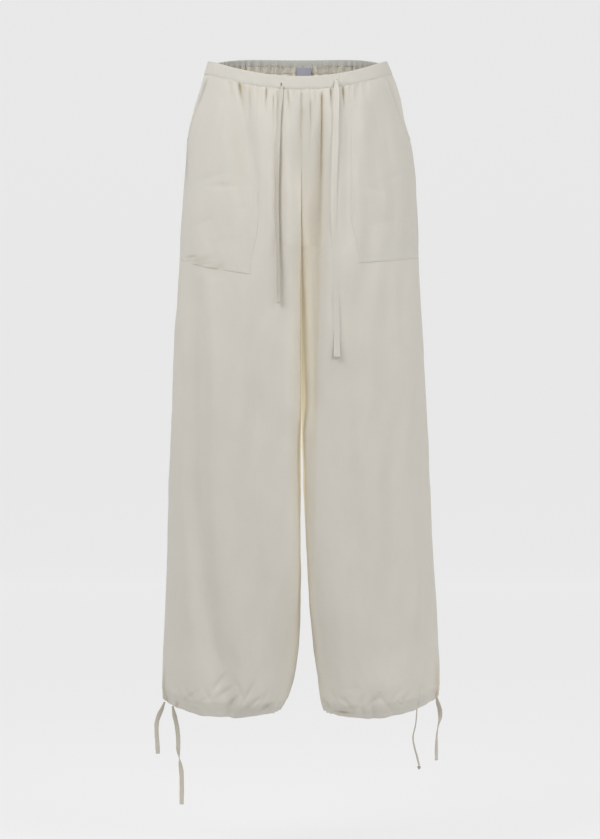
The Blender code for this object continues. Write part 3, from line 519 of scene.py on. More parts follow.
# Painted warm shade beside the right inseam: its share, reach, and where it begins and fades out
# below. Then the painted grey shade of the sunken middle between the gathers, the heights over
# which each fades in and out, and how sharp the edge of the painted warm shade between the legs is
RIGHT_WARM_SHADE, RIGHT_WARM_REACH, RIGHT_WARM_START_Z, RIGHT_WARM_END_Z = 0.13, 0.012, -0.085, -0.98
SUNK_SHADE, SUNK_X, SUNK_HALF_WIDTH, SUNK_TOP_Z, SUNK_LOW_Z = 0.14, 0.006, 0.019, -0.050, -0.24
RIGHT_WARM_FADES, SUNK_FADES = (0.060, 0.10), (0.012, 0.10)
WARM_SHADE_EDGE = 0.004

# Each lamp's name, place, target and size
LAMPS = (("key", (-1.25, -1.35, 0.75), (0.0, 0.0, -0.15), 1.2),
         ("fill", (1.95, -1.75, 0.50), (0.0, 0.0, -0.42), 1.4))


class PantsSizes(bpy.types.PropertyGroup):
    """Sizes that a user would change."""

    cloth: bpy.props.FloatProperty(
        name="Cloth", description="Thickness of the cloth", default=0.0006, unit="LENGTH")
    fold_depth: bpy.props.FloatProperty(
        name="Fold depth", description="Depth of the folds, 1 as worn", default=1.0, min=0.0)
    thread: bpy.props.FloatProperty(
        name="Thread", description="Thickness of the sewing thread", default=0.00038, unit="LENGTH")
    stitch: bpy.props.FloatProperty(
        name="Stitch", description="Length of a stitch", default=0.0024, unit="LENGTH")


class PantsColours(bpy.types.PropertyGroup):
    """Colours that a user would change."""

    cloth: bpy.props.FloatVectorProperty(
        name="Cloth", description="Main colour of the cloth", subtype="COLOR", size=3,
        default=(0.858, 0.836, 0.778))
    cloth_dark: bpy.props.FloatVectorProperty(
        name="Cloth, darker yarn", description="Colour of the darker yarns", subtype="COLOR",
        size=3, default=(0.800, 0.770, 0.700))
    thread: bpy.props.FloatVectorProperty(
        name="Thread", description="Colour of the sewing thread", subtype="COLOR", size=3,
        default=(0.840, 0.800, 0.730))
    label: bpy.props.FloatVectorProperty(
        name="Label", description="Colour of the plain label", subtype="COLOR", size=3,
        default=(0.300, 0.300, 0.365))
    backdrop: bpy.props.FloatVectorProperty(
        name="Backdrop", description="Colour of the floor and backdrop", subtype="COLOR", size=3,
        default=(0.28, 0.28, 0.28))


class PantsStudio(bpy.types.PropertyGroup):
    """The camera and the lights."""

    distance: bpy.props.FloatProperty(
        name="Distance", description="Camera to the middle of the pants", default=4.5,
        unit="LENGTH")
    height: bpy.props.FloatProperty(
        name="Height", description="Height of the camera from the waist", default=-0.571,
        unit="LENGTH")
    view_height: bpy.props.FloatProperty(
        name="View height", description="Height that the picture takes in", default=1.342,
        unit="LENGTH")
    sky: bpy.props.FloatProperty(
        name="Sky", description="Strength of the even light all round", default=0.54)
    key: bpy.props.FloatProperty(
        name="Key", description="Power of the large light on the left", default=21.0, unit="POWER")
    fill: bpy.props.FloatProperty(
        name="Fill", description="Power of the large light on the right", default=26.0,
        unit="POWER")
    glow: bpy.props.FloatProperty(
        name="Backdrop glow", description="Light that the backdrop itself gives", default=0.630)


def smooth_step(value):
    """Zero below 0, one above 1, and a cubic without corners between."""
    value = np.clip(value, 0.0, 1.0)
    return value * value * (3.0 - 2.0 * value)


def smooth_curve(at, knots, values):
    """Cubic through the knots, with the slope at each one taken from its neighbours."""
    at = np.clip(at, knots[0], knots[-1])
    slopes = np.gradient(values, knots)
    left = np.clip(np.searchsorted(knots, at) - 1, 0, len(knots) - 2)
    width = knots[left + 1] - knots[left]
    part = (at - knots[left]) / width
    rise = 3.0 * part**2 - 2.0 * part**3
    lead = (part**3 - 2.0 * part**2 + part) * width
    trail = (part**3 - part**2) * width
    joined = values[left] * (1.0 - rise) + values[left + 1] * rise
    return joined + slopes[left] * lead + slopes[left + 1] * trail


def column(table, name, z):
    """One named column of a table of sections, read at height z."""
    knots = np.array([row.z for row in table])
    values = np.array([getattr(row, name) for row in table])
    return smooth_curve(z, knots, values)


def side_name(side):
    return "right" if side == RIGHT else "left"


def face_name(face):
    return "front" if face == FRONT else "back"


def outer_x(side, z):
    return side * column(SECTIONS, side_name(side), z)


def quarter_length(half_width, depth):
    """Roughly the length of a quarter of an ellipse."""
    return 0.5 * math.pi * np.sqrt(0.5 * (half_width**2 + depth**2))


def bell(value, power=2):
    """One where the value is nothing, falling on both sides as the exponential of its power."""
    return np.exp(-(value**power))


def unit(vectors):
    """Vectors in the same directions with a length of one."""
    return vectors / np.linalg.norm(vectors, axis=-1, keepdims=True)


def sampled(at, lengths, rows):
    """Rows of numbers, such as points, read off at the given running lengths."""
    return np.stack([np.interp(at, lengths, one) for one in rows.T], axis=-1)


def at_height(knots, z, place=1):
    """A value at height z, straight between the rows of a table that runs downwards."""
    rows = np.array(knots[::-1])
    return np.interp(z, rows[:, 0], rows[:, place])


def between(z, top, low):
    """Zero above the top, one below the low end, and smooth between."""
    return smooth_step((top - z) / (top - low))


def base_surface(side, face, u, z):
    """Two quarters of a superellipse: side seam to ridge, then ridge to centre seam or inseam.

    x and y follow cosine and sine raised to 2 over the fullness. Between the rise's start and
    the crotch the inner end moves back along a quarter ellipse, the crotch curve.
    """
    outer = outer_x(side, z)
    inner = column(INSEAMS, side_name(side), z)
    depth = face * column(SECTIONS, face_name(face), z)
    ridge = inner + (outer - inner) * (0.5 * between(z, RIDGE_START_Z, RIDGE_END_Z))
    start_z = RISE_START_Z[face]
    rise = np.clip((start_z - z) / (start_z - CROTCH_Z), 0.0, 1.0)
    tucked_seam = 1.0 - np.sqrt(1.0 - rise**2)
    tucked_thigh = between(z, start_z, CROTCH_Z - RISE_SETTLE)
    first = quarter_length(np.abs(outer - ridge), np.abs(depth))
    second = quarter_length(np.abs(ridge - inner), np.abs(depth - CROTCH_Y) * tucked_thigh)
    share = first / (first + second)
    power = 2.0 / CORNER_FULLNESS
    turn = QUARTER_TURN * np.clip(u / share, 0.0, 1.0)
    part_in = np.clip((u - share) / np.maximum(1.0 - share, 1e-9), 0.0, 1.0)
    below_hips = between(z, INNER_FULL_START_Z, INNER_FULL_Z)
    above_hem = smooth_step((z - INNER_FULL_GONE_Z) / (INNER_FULL_END_Z - INNER_FULL_GONE_Z))
    shown = INNER_FULL_AT_HEM + (1.0 - INNER_FULL_AT_HEM) * above_hem
    gain = 1.0 + (INNER_FULLNESS / CORNER_FULLNESS - 1.0) * below_hips * shown
    power_in = power / gain
    turn_in = QUARTER_TURN * (part_in**gain / (part_in**gain + (1.0 - part_in) ** gain))
    near_seam = part_in**RISE_TIGHTNESS
    tucked = tucked_thigh * (1.0 - near_seam) + tucked_seam * near_seam
    end_y = depth * (1.0 - tucked) + CROTCH_Y * tucked
    outside = u < share
    x = np.where(
        outside,
        ridge + (outer - ridge) * np.abs(np.cos(turn)) ** power,
        ridge + (inner - ridge) * np.sin(turn_in) ** power_in,
    )
    y = np.where(
        outside,
        depth * np.sin(turn) ** power,
        end_y + (depth - end_y) * np.abs(np.cos(turn_in)) ** power_in,
    )
    return np.stack([x, y, z], axis=-1)


def outward(side, face, u, z):
    """Unit normal of the base surface: the cross product of its differences along u and z."""
    step_u, step_z = 0.004, 0.002
    low_u = np.clip(u - step_u, 0.0, 1.0)
    high_u = np.clip(u + step_u, 0.0, 1.0)
    along_u = base_surface(side, face, high_u, z) - base_surface(side, face, low_u, z)
    along_z = base_surface(side, face, u, z + step_z) - base_surface(side, face, u, z - step_z)
    return unit(np.cross(along_u, along_z) * (side * face))


def rim_height(side, face, u):
    """Height of the waist's rim: it dips in front as a parabola in x, and is flatter behind."""
    at_waist = base_surface(side, face, u, np.zeros_like(u))[..., 0]
    spread = (at_waist - SEAM_X) / (outer_x(side, np.zeros_like(u)) - SEAM_X)
    middle = -RIM_DIP_FRONT if face == FRONT else RIM_LIFT_BACK
    return middle * (1.0 - np.abs(spread) ** RIM_POWER[face])


def hem_height(side, u):
    """Height of the lower edge: lowest at the inseam, drawn up to the side seam as a cosine."""
    lift = 0.5 + 0.5 * np.cos(math.pi * np.clip(u / HEM_LIFT_REACH, 0.0, 1.0))
    uneven = (0.0006 * np.sin(31.0 * u + side) + 0.0004 * np.sin(74.0 * u)) * np.sin(math.pi * u)
    inner_lift = INNER_HEM_LIFT[side] * smooth_step((u - 0.50) / 0.28)
    return -OUTSEAM + HEM_LIFT[side] * lift + uneven + inner_lift


def crease(distance, sharpness):
    """A trough's section: one in its middle, falling as a bell, sharper for a lower power."""
    return np.exp(-((distance**2 + 0.02) ** (0.5 * sharpness)))


def front_creases(x, below_seam):
    """Depth of the gathers' creases, each fading in and out with the distance below the seam."""
    total = np.zeros_like(x)
    for fold in FRONT_GATHERS:
        distance = (x - fold.x - fold.drift * below_seam) / fold.half_width
        fade = bell(below_seam / fold.reach)
        fade = fade * smooth_step((below_seam - fold.begin) / GATHER_FADE_IN + 0.35)
        widened = distance / (1.0 + GATHER_WIDENING * below_seam)
        total = total + fold.depth * crease(widened, fold.sharpness) * fade
    return total


def seam_ripple(x):
    """Small even gathers along the front band seam: a sine of x whose spacing wanders."""
    return np.sin(x * 880.0 + 2.0 * np.sin(x * 61.0))


def front_gathers(x, below_seam):
    """Soft puffs under the band with the creases cut into them, and a fine ripple at the seam."""
    puff = GATHER_PUFF * (1.0 - np.exp(-below_seam / GATHER_PUFF_RISE))
    total = puff * bell(below_seam / GATHER_PUFF_REACH) * bell(x / GATHERED_HALF_WIDTH, 4)
    total = total - front_creases(x, below_seam)
    ripple = seam_ripple(x) * 0.6 + np.sin(x * 530.0 + 1.0) * 0.4
    ripple = RIPPLE_DEPTH * ripple * bell(below_seam / RIPPLE_REACH)
    return total + ripple * bell(x / RIPPLE_HALF_WIDTH, 6)


def back_phase(u):
    """Phase of the back gathers, a little uneven in their spacing."""
    even = FULL_TURN * BACK_GATHERS_PER_PANEL * u
    return even + 0.9 * np.sin(FULL_TURN * 2.0 * u) + 0.5 * np.sin(FULL_TURN * 5.0 * u)


def back_ruche(u):
    """The wave of the gathered back: a cosine of the phase, uneven in height, with a finer one."""
    uneven = 1.0 + 0.35 * np.sin(FULL_TURN * 3.3 * u + 0.7) + 0.2 * np.sin(FULL_TURN * 7.1 * u)
    return uneven * np.cos(back_phase(u)) + 0.25 * np.cos(2.3 * back_phase(u) + 1.0)


def back_gathers(u, below_seam):
    """The gathered back's wave, fading out below the band and beside the seams."""
    ends = smooth_step(u / 0.10) * smooth_step((1.0 - u) / 0.03)
    reach = BACK_GATHER_REACH * (1.0 + 0.5 * np.sin(FULL_TURN * 4.7 * u + 1.3))
    return BACK_GATHER_DEPTH * back_ruche(u) * bell(below_seam / reach) * ends


def drape_folds(side, face, x, z):
    """Long folds: a bell about a line down the cloth, which fades at both ends."""
    total = np.zeros_like(x)
    for fold in DRAPES[side, face]:
        route = np.array(fold.route[::-1])
        low, top = route[0, 1], route[-1, 1]
        middle = smooth_curve(z, route[:, 1], route[:, 0])
        part = np.clip((top - z) / (top - low), 0.0, 1.0)
        width = fold.top_width + (fold.low_width - fold.top_width) * part
        width = DRAPE_WIDTH_GAIN * width
        ends = smooth_step((top - z) / DRAPE_FADE + 0.5)
        ends = ends * smooth_step((z - low) / DRAPE_FADE + 0.5)
        total = total - fold.depth * crease((x - middle) / width, DRAPE_SHARPNESS) * ends
    return total


def slanted(one, x, z):
    """Distances across and along a slanted crease or patch, in its own half sizes."""
    turn = math.radians(one.slant)
    along = (x - one.x) * math.sin(turn) + (z - one.z) * math.cos(turn)
    across = (x - one.x) * math.cos(turn) - (z - one.z) * math.sin(turn)
    return across / one.half_width, along / one.half_length


def dents(table, side, face, x, z):
    """Short creases: a bell across and a wider bell along, turned by the slant."""
    total = np.zeros_like(x)
    for one in table[side, face]:
        across, along = slanted(one, x, z)
        total = total - one.depth * (crease(across, DENT_SHARPNESS) * bell(along))
    return total


def cloth_waves(points):
    """Slow unevenness: a sum of sines of the point's place, long down the cloth, short across."""
    x, y, z = np.moveaxis(points, -1, 0)
    total = np.zeros_like(x)
    for wave in CLOTH_WAVES:
        turn = wave.across * x + wave.down * z + wave.through * y
        total += wave.height * np.sin(FULL_TURN * turn + wave.phase)
    return total


def hem_relief(side, u, z):
    """The channel's stitched line and the puckers that the tie draws into it."""
    above_edge = z - hem_height(side, u)
    stitched = -HEM_STITCH_DEPTH * bell((above_edge - HEM_CHANNEL) / HEM_STITCH_HALF_WIDTH)
    ends = smooth_step(u / 0.04) * smooth_step((1.0 - u) / 0.04)
    phase = FULL_TURN * HEM_PUCKERS_PER_PANEL * u + 2.2 * np.sin(9.0 * u) + 1.3 * np.sin(23.0 * u)
    uneven = 0.6 + 0.4 * np.sin(14.0 * u + 0.8)
    near = bell((above_edge - 0.5 * HEM_CHANNEL) / HEM_PUCKER_REACH)
    leaning = -HEM_LEAN * smooth_step(1.0 - above_edge / HEM_LEAN_REACH)
    return stitched + leaning + HEM_PUCKER_DEPTH * np.cos(phase) * uneven * near * ends


def mouth_edge(side, z):
    """u of a pocket's open edge: it bows from the band seam out to the side seam."""
    fallen = np.clip((POCKET_TOP_Z - z) / (POCKET_TOP_Z - POCKET_MOUTH_LOW_Z), 0.0, 1.0)
    return POCKET_SIDE_U + POCKET_MOUTH_U[side] * (1.0 - fallen**2) ** 0.7


def mouth_open(z):
    """One at the heights where a pocket's mouth is open, fading out at both ends."""
    above_low = smooth_step((z - POCKET_MOUTH_LOW_Z + 0.012) / MOUTH_LOW_FADE)
    return above_low * smooth_step((MOUTH_TOP_Z - z) / MOUTH_TOP_FADE)


def beside_mouth(side, u, z):
    """Where the leg shows just outside the pocket's open edge, as half a bell."""
    outside = (mouth_edge(side, z) - u) * PANEL_SPAN
    shown = outside > -MOUTH_WIDTH
    return bell((outside - MOUTH_WIDTH) / MOUTH_WIDTH) * shown * mouth_open(z)


def seam_groove(u):
    """The sewn seams pull in: a narrow trough along the side seam, the centre and the inseam."""
    inner = INNER_TROUGH * bell((1.0 - u) / SEAM_TROUGH_U)
    return -SIDE_TROUGH * bell(u / SEAM_TROUGH_U) - inner


def below_band(side, face, u, z):
    """How far a point is below the band's seam, and nothing above it."""
    return np.maximum(seam_height(side, face, u) - z, 0.0)


def panel_relief(side, face, u, z, base):
    """All the relief of a panel, from the broad folds to the seams, in metres out of the base."""
    x = base[..., 0]
    below_seam = below_band(side, face, u, z)
    gathered = front_gathers(x, below_seam) if face == FRONT else back_gathers(u, below_seam)
    draped = drape_folds(side, face, x, z)
    draped = draped + WAVE_GAIN * cloth_waves(base) * smooth_step(below_seam / WAVE_START)
    dented = dents(PANEL_DENTS, side, face, x, z)
    relief = bpy.context.scene.pants_sizes.fold_depth * (
        GATHER_GAIN * gathered + DRAPE_GAIN * draped + DENT_GAIN * dented)
    relief = relief + hem_relief(side, u, z)
    tucked = TUCKED_CLOTH
    if face == FRONT:
        relief = relief - MOUTH_DEPTH[side] * beside_mouth(side, u, z)
    else:
        tucked = tucked + RUCHE_DEPTH * back_ruche(u) * smooth_step(u / RUCHE_START_U)
    above_rise = smooth_step((z - RISE_START_Z[face]) / RISE_FADE)
    inner_fade = np.maximum(smooth_step((1.0 - u) / EDGE_FADE_U), above_rise)
    relief = relief * inner_fade * smooth_step(u / EDGE_FADE_U) + seam_groove(u)
    tuck = 1.0 - smooth_step(below_seam / TUCK_REACH)
    return relief * (1.0 - tuck) + tucked * tuck


def panel_surface(side, face, u, z, lifted=0.0):
    """A point of a panel's outer face, moved out by lifted, and clear of the seam planes."""
    base = base_surface(side, face, u, z)
    relief = panel_relief(side, face, u, z, base) + lifted
    points = base + outward(side, face, u, z) * relief[..., None]
    points[..., 0] = SEAM_X + side * np.maximum(side * (points[..., 0] - SEAM_X), 0.0)
    return points + np.array([side * SEAM_GAP / 2, face * SEAM_GAP / 2, 0.0])


def seam_height(side, face, u):
    """Height of the seam between a panel and its band."""
    return rim_height(side, face, u) - BAND_HEIGHT


def painted_inner_glow(side, z, base):
    """Colour and strength of the painted glow between the legs at each point, as red, green, blue
    and one.

    It falls away as a bell of the distance from the inseam in x, and more is added deep between the
    legs, by a smooth step in y.
    """
    away = np.abs(base[..., 0] - column(INSEAMS, side_name(side), z))
    deep = smooth_step((base[..., 1] - DEEP_Y[0]) / (DEEP_Y[1] - DEEP_Y[0])) * (away < DEEP_REACH)
    beside = at_height(GLOWS[side], z) * bell(away / GLOW_REACH[side])
    strength = beside + at_height(DEEP_GLOWS[side], z) * deep
    parts = [strength * at_height(GLOW_COLOURS, z, place) for place in (1, 2, 3)]
    return np.stack([*parts, np.ones_like(strength)], axis=-1)


def shade_tint_of(warm, grey):
    """The painted shade colour that a warm and a grey share multiply the cloth's by, as red, green,
    blue, one.
    """
    warm, grey = np.broadcast_arrays(warm, grey)
    parts = [(1.0 - warm * (1.0 - one)) * (1.0 - grey * (1.0 - two))
             for one, two in zip(WARM_SHADE_TINT, GREY_SHADE_TINT)]
    return np.stack([*parts, np.ones_like(warm)], axis=-1)


def front_painted_shade(side, x, z, below_seam):
    """Warm and grey shares of painted shade on the front: in gathers, between the legs, in the
    middle and in small patches.
    """
    # Painted warm shade in the creases of the gathers
    warm = np.clip(front_creases(x, below_seam) / WARM_DEPTH, 0.0, 1.0) ** 1.5
    if side == LEFT:
        reach = column(WARM_SHADE_BETWEEN_LEGS, "reach", z)
        shaded_between = 1.0 - smooth_step((x - reach) / WARM_SHADE_EDGE + 0.5)
        warm = warm + column(WARM_SHADE_BETWEEN_LEGS, "share", z) * shaded_between
    else:
        away = (column(INSEAMS, "right", z) - x) / RIGHT_WARM_REACH
        begins = smooth_step((RIGHT_WARM_START_Z - z) / RIGHT_WARM_FADES[0])
        begins = begins * smooth_step((z - RIGHT_WARM_END_Z) / RIGHT_WARM_FADES[1])
        warm = warm + RIGHT_WARM_SHADE * begins * bell(away)
    sunk = bell((x - SUNK_X) / SUNK_HALF_WIDTH, 4)
    sunk = sunk * smooth_step((SUNK_TOP_Z - z) / SUNK_FADES[0])
    sunk = sunk * smooth_step((z - SUNK_LOW_Z) / SUNK_FADES[1])
    grey = SUNK_SHADE * sunk
    for one in SHADE_PATCHES[side]:
        across, along = slanted(one, x, z)
        spot = np.exp(-(along**2) - across**2)
        warm, grey = warm + one.warm * spot, grey + one.grey * spot
    return warm, grey


def panel_painted_shade(side, face, u, base, z):
    """The painted shade of a panel's points, with more beside a pocket's mouth. The back panels are
    even.
    """
    if face == BACK:
        return shade_tint_of(np.zeros_like(z), 0.0)
    warm, grey = front_painted_shade(side, base[..., 0], z, below_band(side, face, u, z))
    return shade_tint_of(warm, grey + MOUTH_SHADE[side] * beside_mouth(side, u, z))


def grid_faces(rows, columns, flip, around=False):
    """Quads of a grid of rows by columns of points, closed round its columns where asked."""
    index = np.arange(rows * columns).reshape(rows, columns)
    following = np.roll(index, -1, axis=1)
    if not around:
        index, following = index[:, :-1], following[:, :-1]
    corners = (index[:-1], following[:-1], following[1:], index[1:])
    faces = np.stack([corner.ravel() for corner in corners], axis=-1)
    return faces[:, ::-1] if flip else faces


def loop_faces(rings, flip):
    """Quads of rings that follow one another and close into a loop."""
    count, around = rings.shape[:2]
    return grid_faces(count + 1, around, flip, around=True) % (count * around)


def swept(path, first, second, first_reach, second_reach):
    """Rings of points about a path: reaches along two directions that stand across it."""
    rings = path[:, None] + first[:, None] * first_reach[..., None]
    return rings + second[:, None] * second_reach[..., None]


def mesh_piece(name, points, faces, finish, uv=None, marks=None):
    """A mesh object from whole arrays, with its weave coordinates in metres and any marks.

    A mark is a colour of four for each point.
    """
    points = np.ascontiguousarray(points.reshape(-1, 3))
    mesh = bpy.data.meshes.new(name)
    if isinstance(faces, np.ndarray):
        faces = faces.tolist()
    mesh.from_pydata(points.tolist(), [], faces)
    if uv is not None:
        layer = mesh.uv_layers.new(name="weave")
        loops = np.empty(len(mesh.loops), np.int32)
        mesh.loops.foreach_get("vertex_index", loops)
        layer.data.foreach_set("uv", uv.reshape(-1, 2)[loops].astype(np.float32).ravel())
    for mark, values in (marks or {}).items():
        attribute = mesh.attributes.new(mark, "FLOAT_COLOR", "POINT")
        attribute.data.foreach_set("color", values.astype(np.float32).ravel())
    mesh.materials.append(finish)
    mesh.shade_smooth()
    mesh.validate()
    made = bpy.data.objects.new(name, mesh)
    bpy.context.scene.collection.objects.link(made)
    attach(made, BODY)
    return made


def thicken(piece, wall):
    """Gives open cloth its wall, inside the face that was drawn."""
    solid = piece.modifiers.new("wall", "SOLIDIFY")
    solid.thickness = wall
    solid.offset = -1.0
    return piece


class Value:
    """A socket of a node tree, so that shader maths reads as an expression."""

    def __init__(self, tree, socket):
        self.tree = tree
        self.socket = socket

    def _maths(self, operation, first, second):
        made = self.tree.nodes.new("ShaderNodeMath")
        made.operation = operation
        for place, value in enumerate((first, second)):
            if isinstance(value, Value):
                self.tree.links.new(value.socket, made.inputs[place])
            else:
                made.inputs[place].default_value = value
        return Value(self.tree, made.outputs[0])

    def __add__(self, other):
        return self._maths("ADD", self, other)

    def __radd__(self, other):
        return self._maths("ADD", other, self)

    def __sub__(self, other):
        return self._maths("SUBTRACT", self, other)

    def __rsub__(self, other):
        return self._maths("SUBTRACT", other, self)

    def __mul__(self, other):
        return self._maths("MULTIPLY", self, other)

    def __rmul__(self, other):
        return self._maths("MULTIPLY", other, self)


class Finish:
    """A material under way: its tree, its shader and one method that adds any node."""

    def __init__(self, name):
        self.material = bpy.data.materials.new(name)
        self.material.use_nodes = True
        self.tree = self.material.node_tree
        self.shader = self.tree.nodes["Principled BSDF"]

    def node(self, kind, settings=None, inputs=None, output=0):
        """Adds a node: its settings first, then the values or links of its sockets."""
        made = self.tree.nodes.new(kind)
        for key, value in (settings or {}).items():
            setattr(made, key, value)
        for key, value in (inputs or {}).items():
            self.feed(made.inputs[key], value)
        return Value(self.tree, made.outputs[output])

    def feed(self, socket, value):
        if isinstance(value, Value):
            self.tree.links.new(value.socket, socket)
        else:
            socket.default_value = value

    def place(self):
        """The point's place on the object, in metres."""
        return self.node("ShaderNodeTexCoord", output=3)

    def weave(self):
        """The point's weave coordinates, in metres across and down the cloth."""
        return self.node("ShaderNodeUVMap", {"uv_map": "weave"})

    def mark(self, name):
        """A piece's own mark, as a colour."""
        return self.node("ShaderNodeAttribute", {"attribute_name": name}, output=0)

    def stretched(self, place, across, down):
        """A place with its first axis times across and its second times down."""
        return self.node("ShaderNodeVectorMath", {"operation": "MULTIPLY"},
                         {0: place, 1: (across, down, 1.0)})

    def second_axis(self, place):
        return self.node("ShaderNodeSeparateXYZ", {}, {"Vector": place}, 1)

    def noise(self, place, scale, detail=2.0, roughness=0.5):
        return self.node("ShaderNodeTexNoise", {}, {
            "Vector": place, "Scale": scale, "Detail": detail, "Roughness": roughness})

    def ramp(self, value, zero_at, one_at, kind="LINEAR"):
        """Zero at one value and one at another, straight or smooth between."""
        return self.node("ShaderNodeMapRange", {"interpolation_type": kind}, {
            "Value": value, "From Min": zero_at, "From Max": one_at})

    def distance(self, value, middle):
        """How far a value is from a middle one."""
        return self.node("ShaderNodeMath", {"operation": "ABSOLUTE"}, {0: value - middle})

    def mix(self, share, first, second, blend="MIX"):
        """A colour between two colours, or the first multiplied by the second, by a share."""
        return self.node("ShaderNodeMix", {"data_type": "RGBA", "blend_type": blend},
                         {0: share, 6: first, 7: second}, 2)

    def finish(self, colour, roughness, height, **constants):
        """Joins the sums to the shader: a height in metres becomes a bump."""
        self.feed(self.shader.inputs["Base Color"], colour)
        self.feed(self.shader.inputs["Roughness"], roughness)
        bump = self.node("ShaderNodeBump", {}, {
            "Strength": 1.0, "Distance": 1.0, "Height": height})
        self.feed(self.shader.inputs["Normal"], bump)
        for key, value in constants.items():
            self.shader.inputs[key.replace("_", " ")].default_value = value
        return self.material

    def let_light_through(self, colour, share):
        """Mixes in a share of light from behind, as thin cloth shows it."""
        through = self.node("ShaderNodeBsdfTranslucent", {}, {"Color": colour})
        lit = Value(self.tree, self.shader.outputs[0])
        mixed = self.node("ShaderNodeMixShader", {}, {0: share, 1: lit, 2: through})
        self.feed(self.tree.nodes["Material Output"].inputs["Surface"], mixed)
        return self.material


def rgba(colour):
    return (*colour, 1.0)


def inside_light_and_shade(made, colour, weave, grey_from, grey_to):
    """Painted shade and light inside the elastic back: grey shade between two heights, then a beige
    painted warm light, with painted shade at pinches between.
    """
    wander = made.noise(made.stretched(weave, 420.0, 90.0), 1.0, 1.0)
    height = made.second_axis(weave) + 0.0110 * (wander - 0.5)
    pinched = made.ramp(made.noise(made.stretched(weave, 620.0, 300.0), 1.0, 1.0), 0.50, 0.60)
    nearby = made.ramp(made.distance(height, grey_to - 0.0006), 0.0042, 0.0010, "SMOOTHSTEP")
    begun = made.ramp(height, grey_from, grey_from - 0.002)
    ended = made.ramp(height, grey_to, grey_to - 0.0012)
    colour = made.mix(begun * (1.0 - ended), colour, rgba(INSIDE_SHADE_TINT), "MULTIPLY")
    colour = made.mix(ended, colour, rgba(INSIDE_LIGHT_TINT), "MULTIPLY")
    return made.mix(pinched * nearby, colour, rgba(PINCH_SHADE_TINT), "MULTIPLY")


def cloth_finish(name, crumple, marks=(), painted_shade_heights=None):
    """Light plain-woven cloth: yarns both ways with slubs, a slow change of tone, soft creasing.

    A piece may have its own marks: a painted shade tint that multiplies its colour, and a painted
    glow.
    """
    made = Finish(name)
    colours = bpy.context.scene.pants_colours
    weave, place = made.weave(), made.place()
    down_yarn = made.noise(made.stretched(weave, *DOWN_YARN), 1.0)
    cross_yarn = made.noise(made.stretched(weave, *CROSS_YARN), 1.0)
    tone = made.noise(place, TONE_SCALE, 3.0)
    soft = made.noise(place, SOFT_SCALE, 3.0, 0.45)
    fine = made.noise(place, FINE_SCALE)
    share = 0.5 + 0.55 * (down_yarn - 0.5) + 0.55 * (cross_yarn - 0.5) + 0.35 * (tone - 0.5)
    colour = made.mix(share, rgba(colours.cloth), rgba(colours.cloth_dark))
    # Painted shade and painted warm light on the inside of the back band
    if painted_shade_heights:
        colour = inside_light_and_shade(made, colour, weave, *painted_shade_heights)
    # The tone mark is painted shade: warm and grey shade multiplied into the colour
    if "tone" in marks:
        colour = made.mix(1.0, colour, made.mark("tone"), "MULTIPLY")
    # The glow mark is painted light: an emission that stands for light through the cloth
    if "glow" in marks:
        made.feed(made.shader.inputs["Emission Color"], made.mark("glow"))
        made.shader.inputs["Emission Strength"].default_value = 1.0
    height = (down_yarn + cross_yarn) * SLUB_HEIGHT + soft * crumple + fine * (crumple * 0.16)
    made.finish(colour, 0.80 + 0.12 * cross_yarn, height, Sheen_Weight=0.10, Sheen_Roughness=0.5,
                Specular_IOR_Level=0.25)
    return made.let_light_through(colour, THROUGH_CLOTH)


def thread_finish(name, colour):
    """Sewing thread: a slight change of tone and a fine twist."""
    made = Finish(name)
    twist = made.noise(made.place(), 900.0)
    dark = [0.86 * part for part in colour]
    shade = made.mix(twist, rgba(colour), rgba(dark))
    return made.finish(shade, 0.62 + 0.15 * twist, twist * 0.00006, Sheen_Weight=0.10)


def label_finish(name, colour):
    """A plain woven label: fine ribs across and a slight change of tone."""
    made = Finish(name)
    weave = made.weave()
    ribs = made.noise(made.stretched(weave, 60.0, 2400.0), 1.0)
    tone = made.noise(weave, 160.0)
    light = [min(1.0, 1.22 * part) for part in colour]
    shade = made.mix(0.5 + 0.6 * (ribs - 0.5) + 0.3 * (tone - 0.5), rgba(colour), rgba(light))
    return made.finish(shade, 0.6 + 0.1 * ribs, ribs * 0.00005, Sheen_Weight=0.15)


# How deep each cloth's creasing is, the marks that it reads, and the heights between which the
# inside of a band has painted grey shade
INSIDE_RIM = -BAND_HEIGHT - QUARTER_TURN * (BAND_PROUD - BAND_INNER)
CLOTHS = {
    "main_cloth": (0.00030, ("tone", "glow")),
    "band_cloth": (0.00014,),
    "back_band_cloth": (
        0.00014, (), (-BAND_HEIGHT - 0.001, INSIDE_RIM - FACING_SHARE * BAND_HEIGHT)),
    "pocket_cloth": (0.00034, ("tone",)),
    "tie_cloth": (0.00010, ("tone",)),
}


def stock(name):
    """The finish of that name, made the first time that it is asked for."""
    found = bpy.data.materials.get(name)
    if found:
        return found
    colours = bpy.context.scene.pants_colours
    # The slot's dark disc is painted shade, with a thread's finish
    if name == "slot_shade":
        return thread_finish(name, SLOT_SHADE_COLOUR)
    if name == "sewing_thread":
        return thread_finish(name, tuple(colours.thread))
    if name == "label_weave":
        return label_finish(name, tuple(colours.label))
    return cloth_finish(name, *CLOTHS[name])


def arc_lengths(points, axis):
    """Running length of a grid of points along one axis, from nothing."""
    steps = np.linalg.norm(np.diff(points, axis=axis), axis=-1)
    shape = list(steps.shape)
    shape[axis] = 1
    return np.concatenate([np.zeros(shape), np.cumsum(steps, axis=axis)], axis=axis)


def weave_of(points, shift=0.0):
    """Weave coordinates of a grid: length across each row from its middle, and length down."""
    across = arc_lengths(points, 1)
    middle = across[:, across.shape[1] // 2][:, None]
    down = arc_lengths(points, 0)
    down = np.broadcast_to(down.mean(axis=1, keepdims=True), across.shape)
    return np.stack([across - middle + shift, -down], axis=-1)


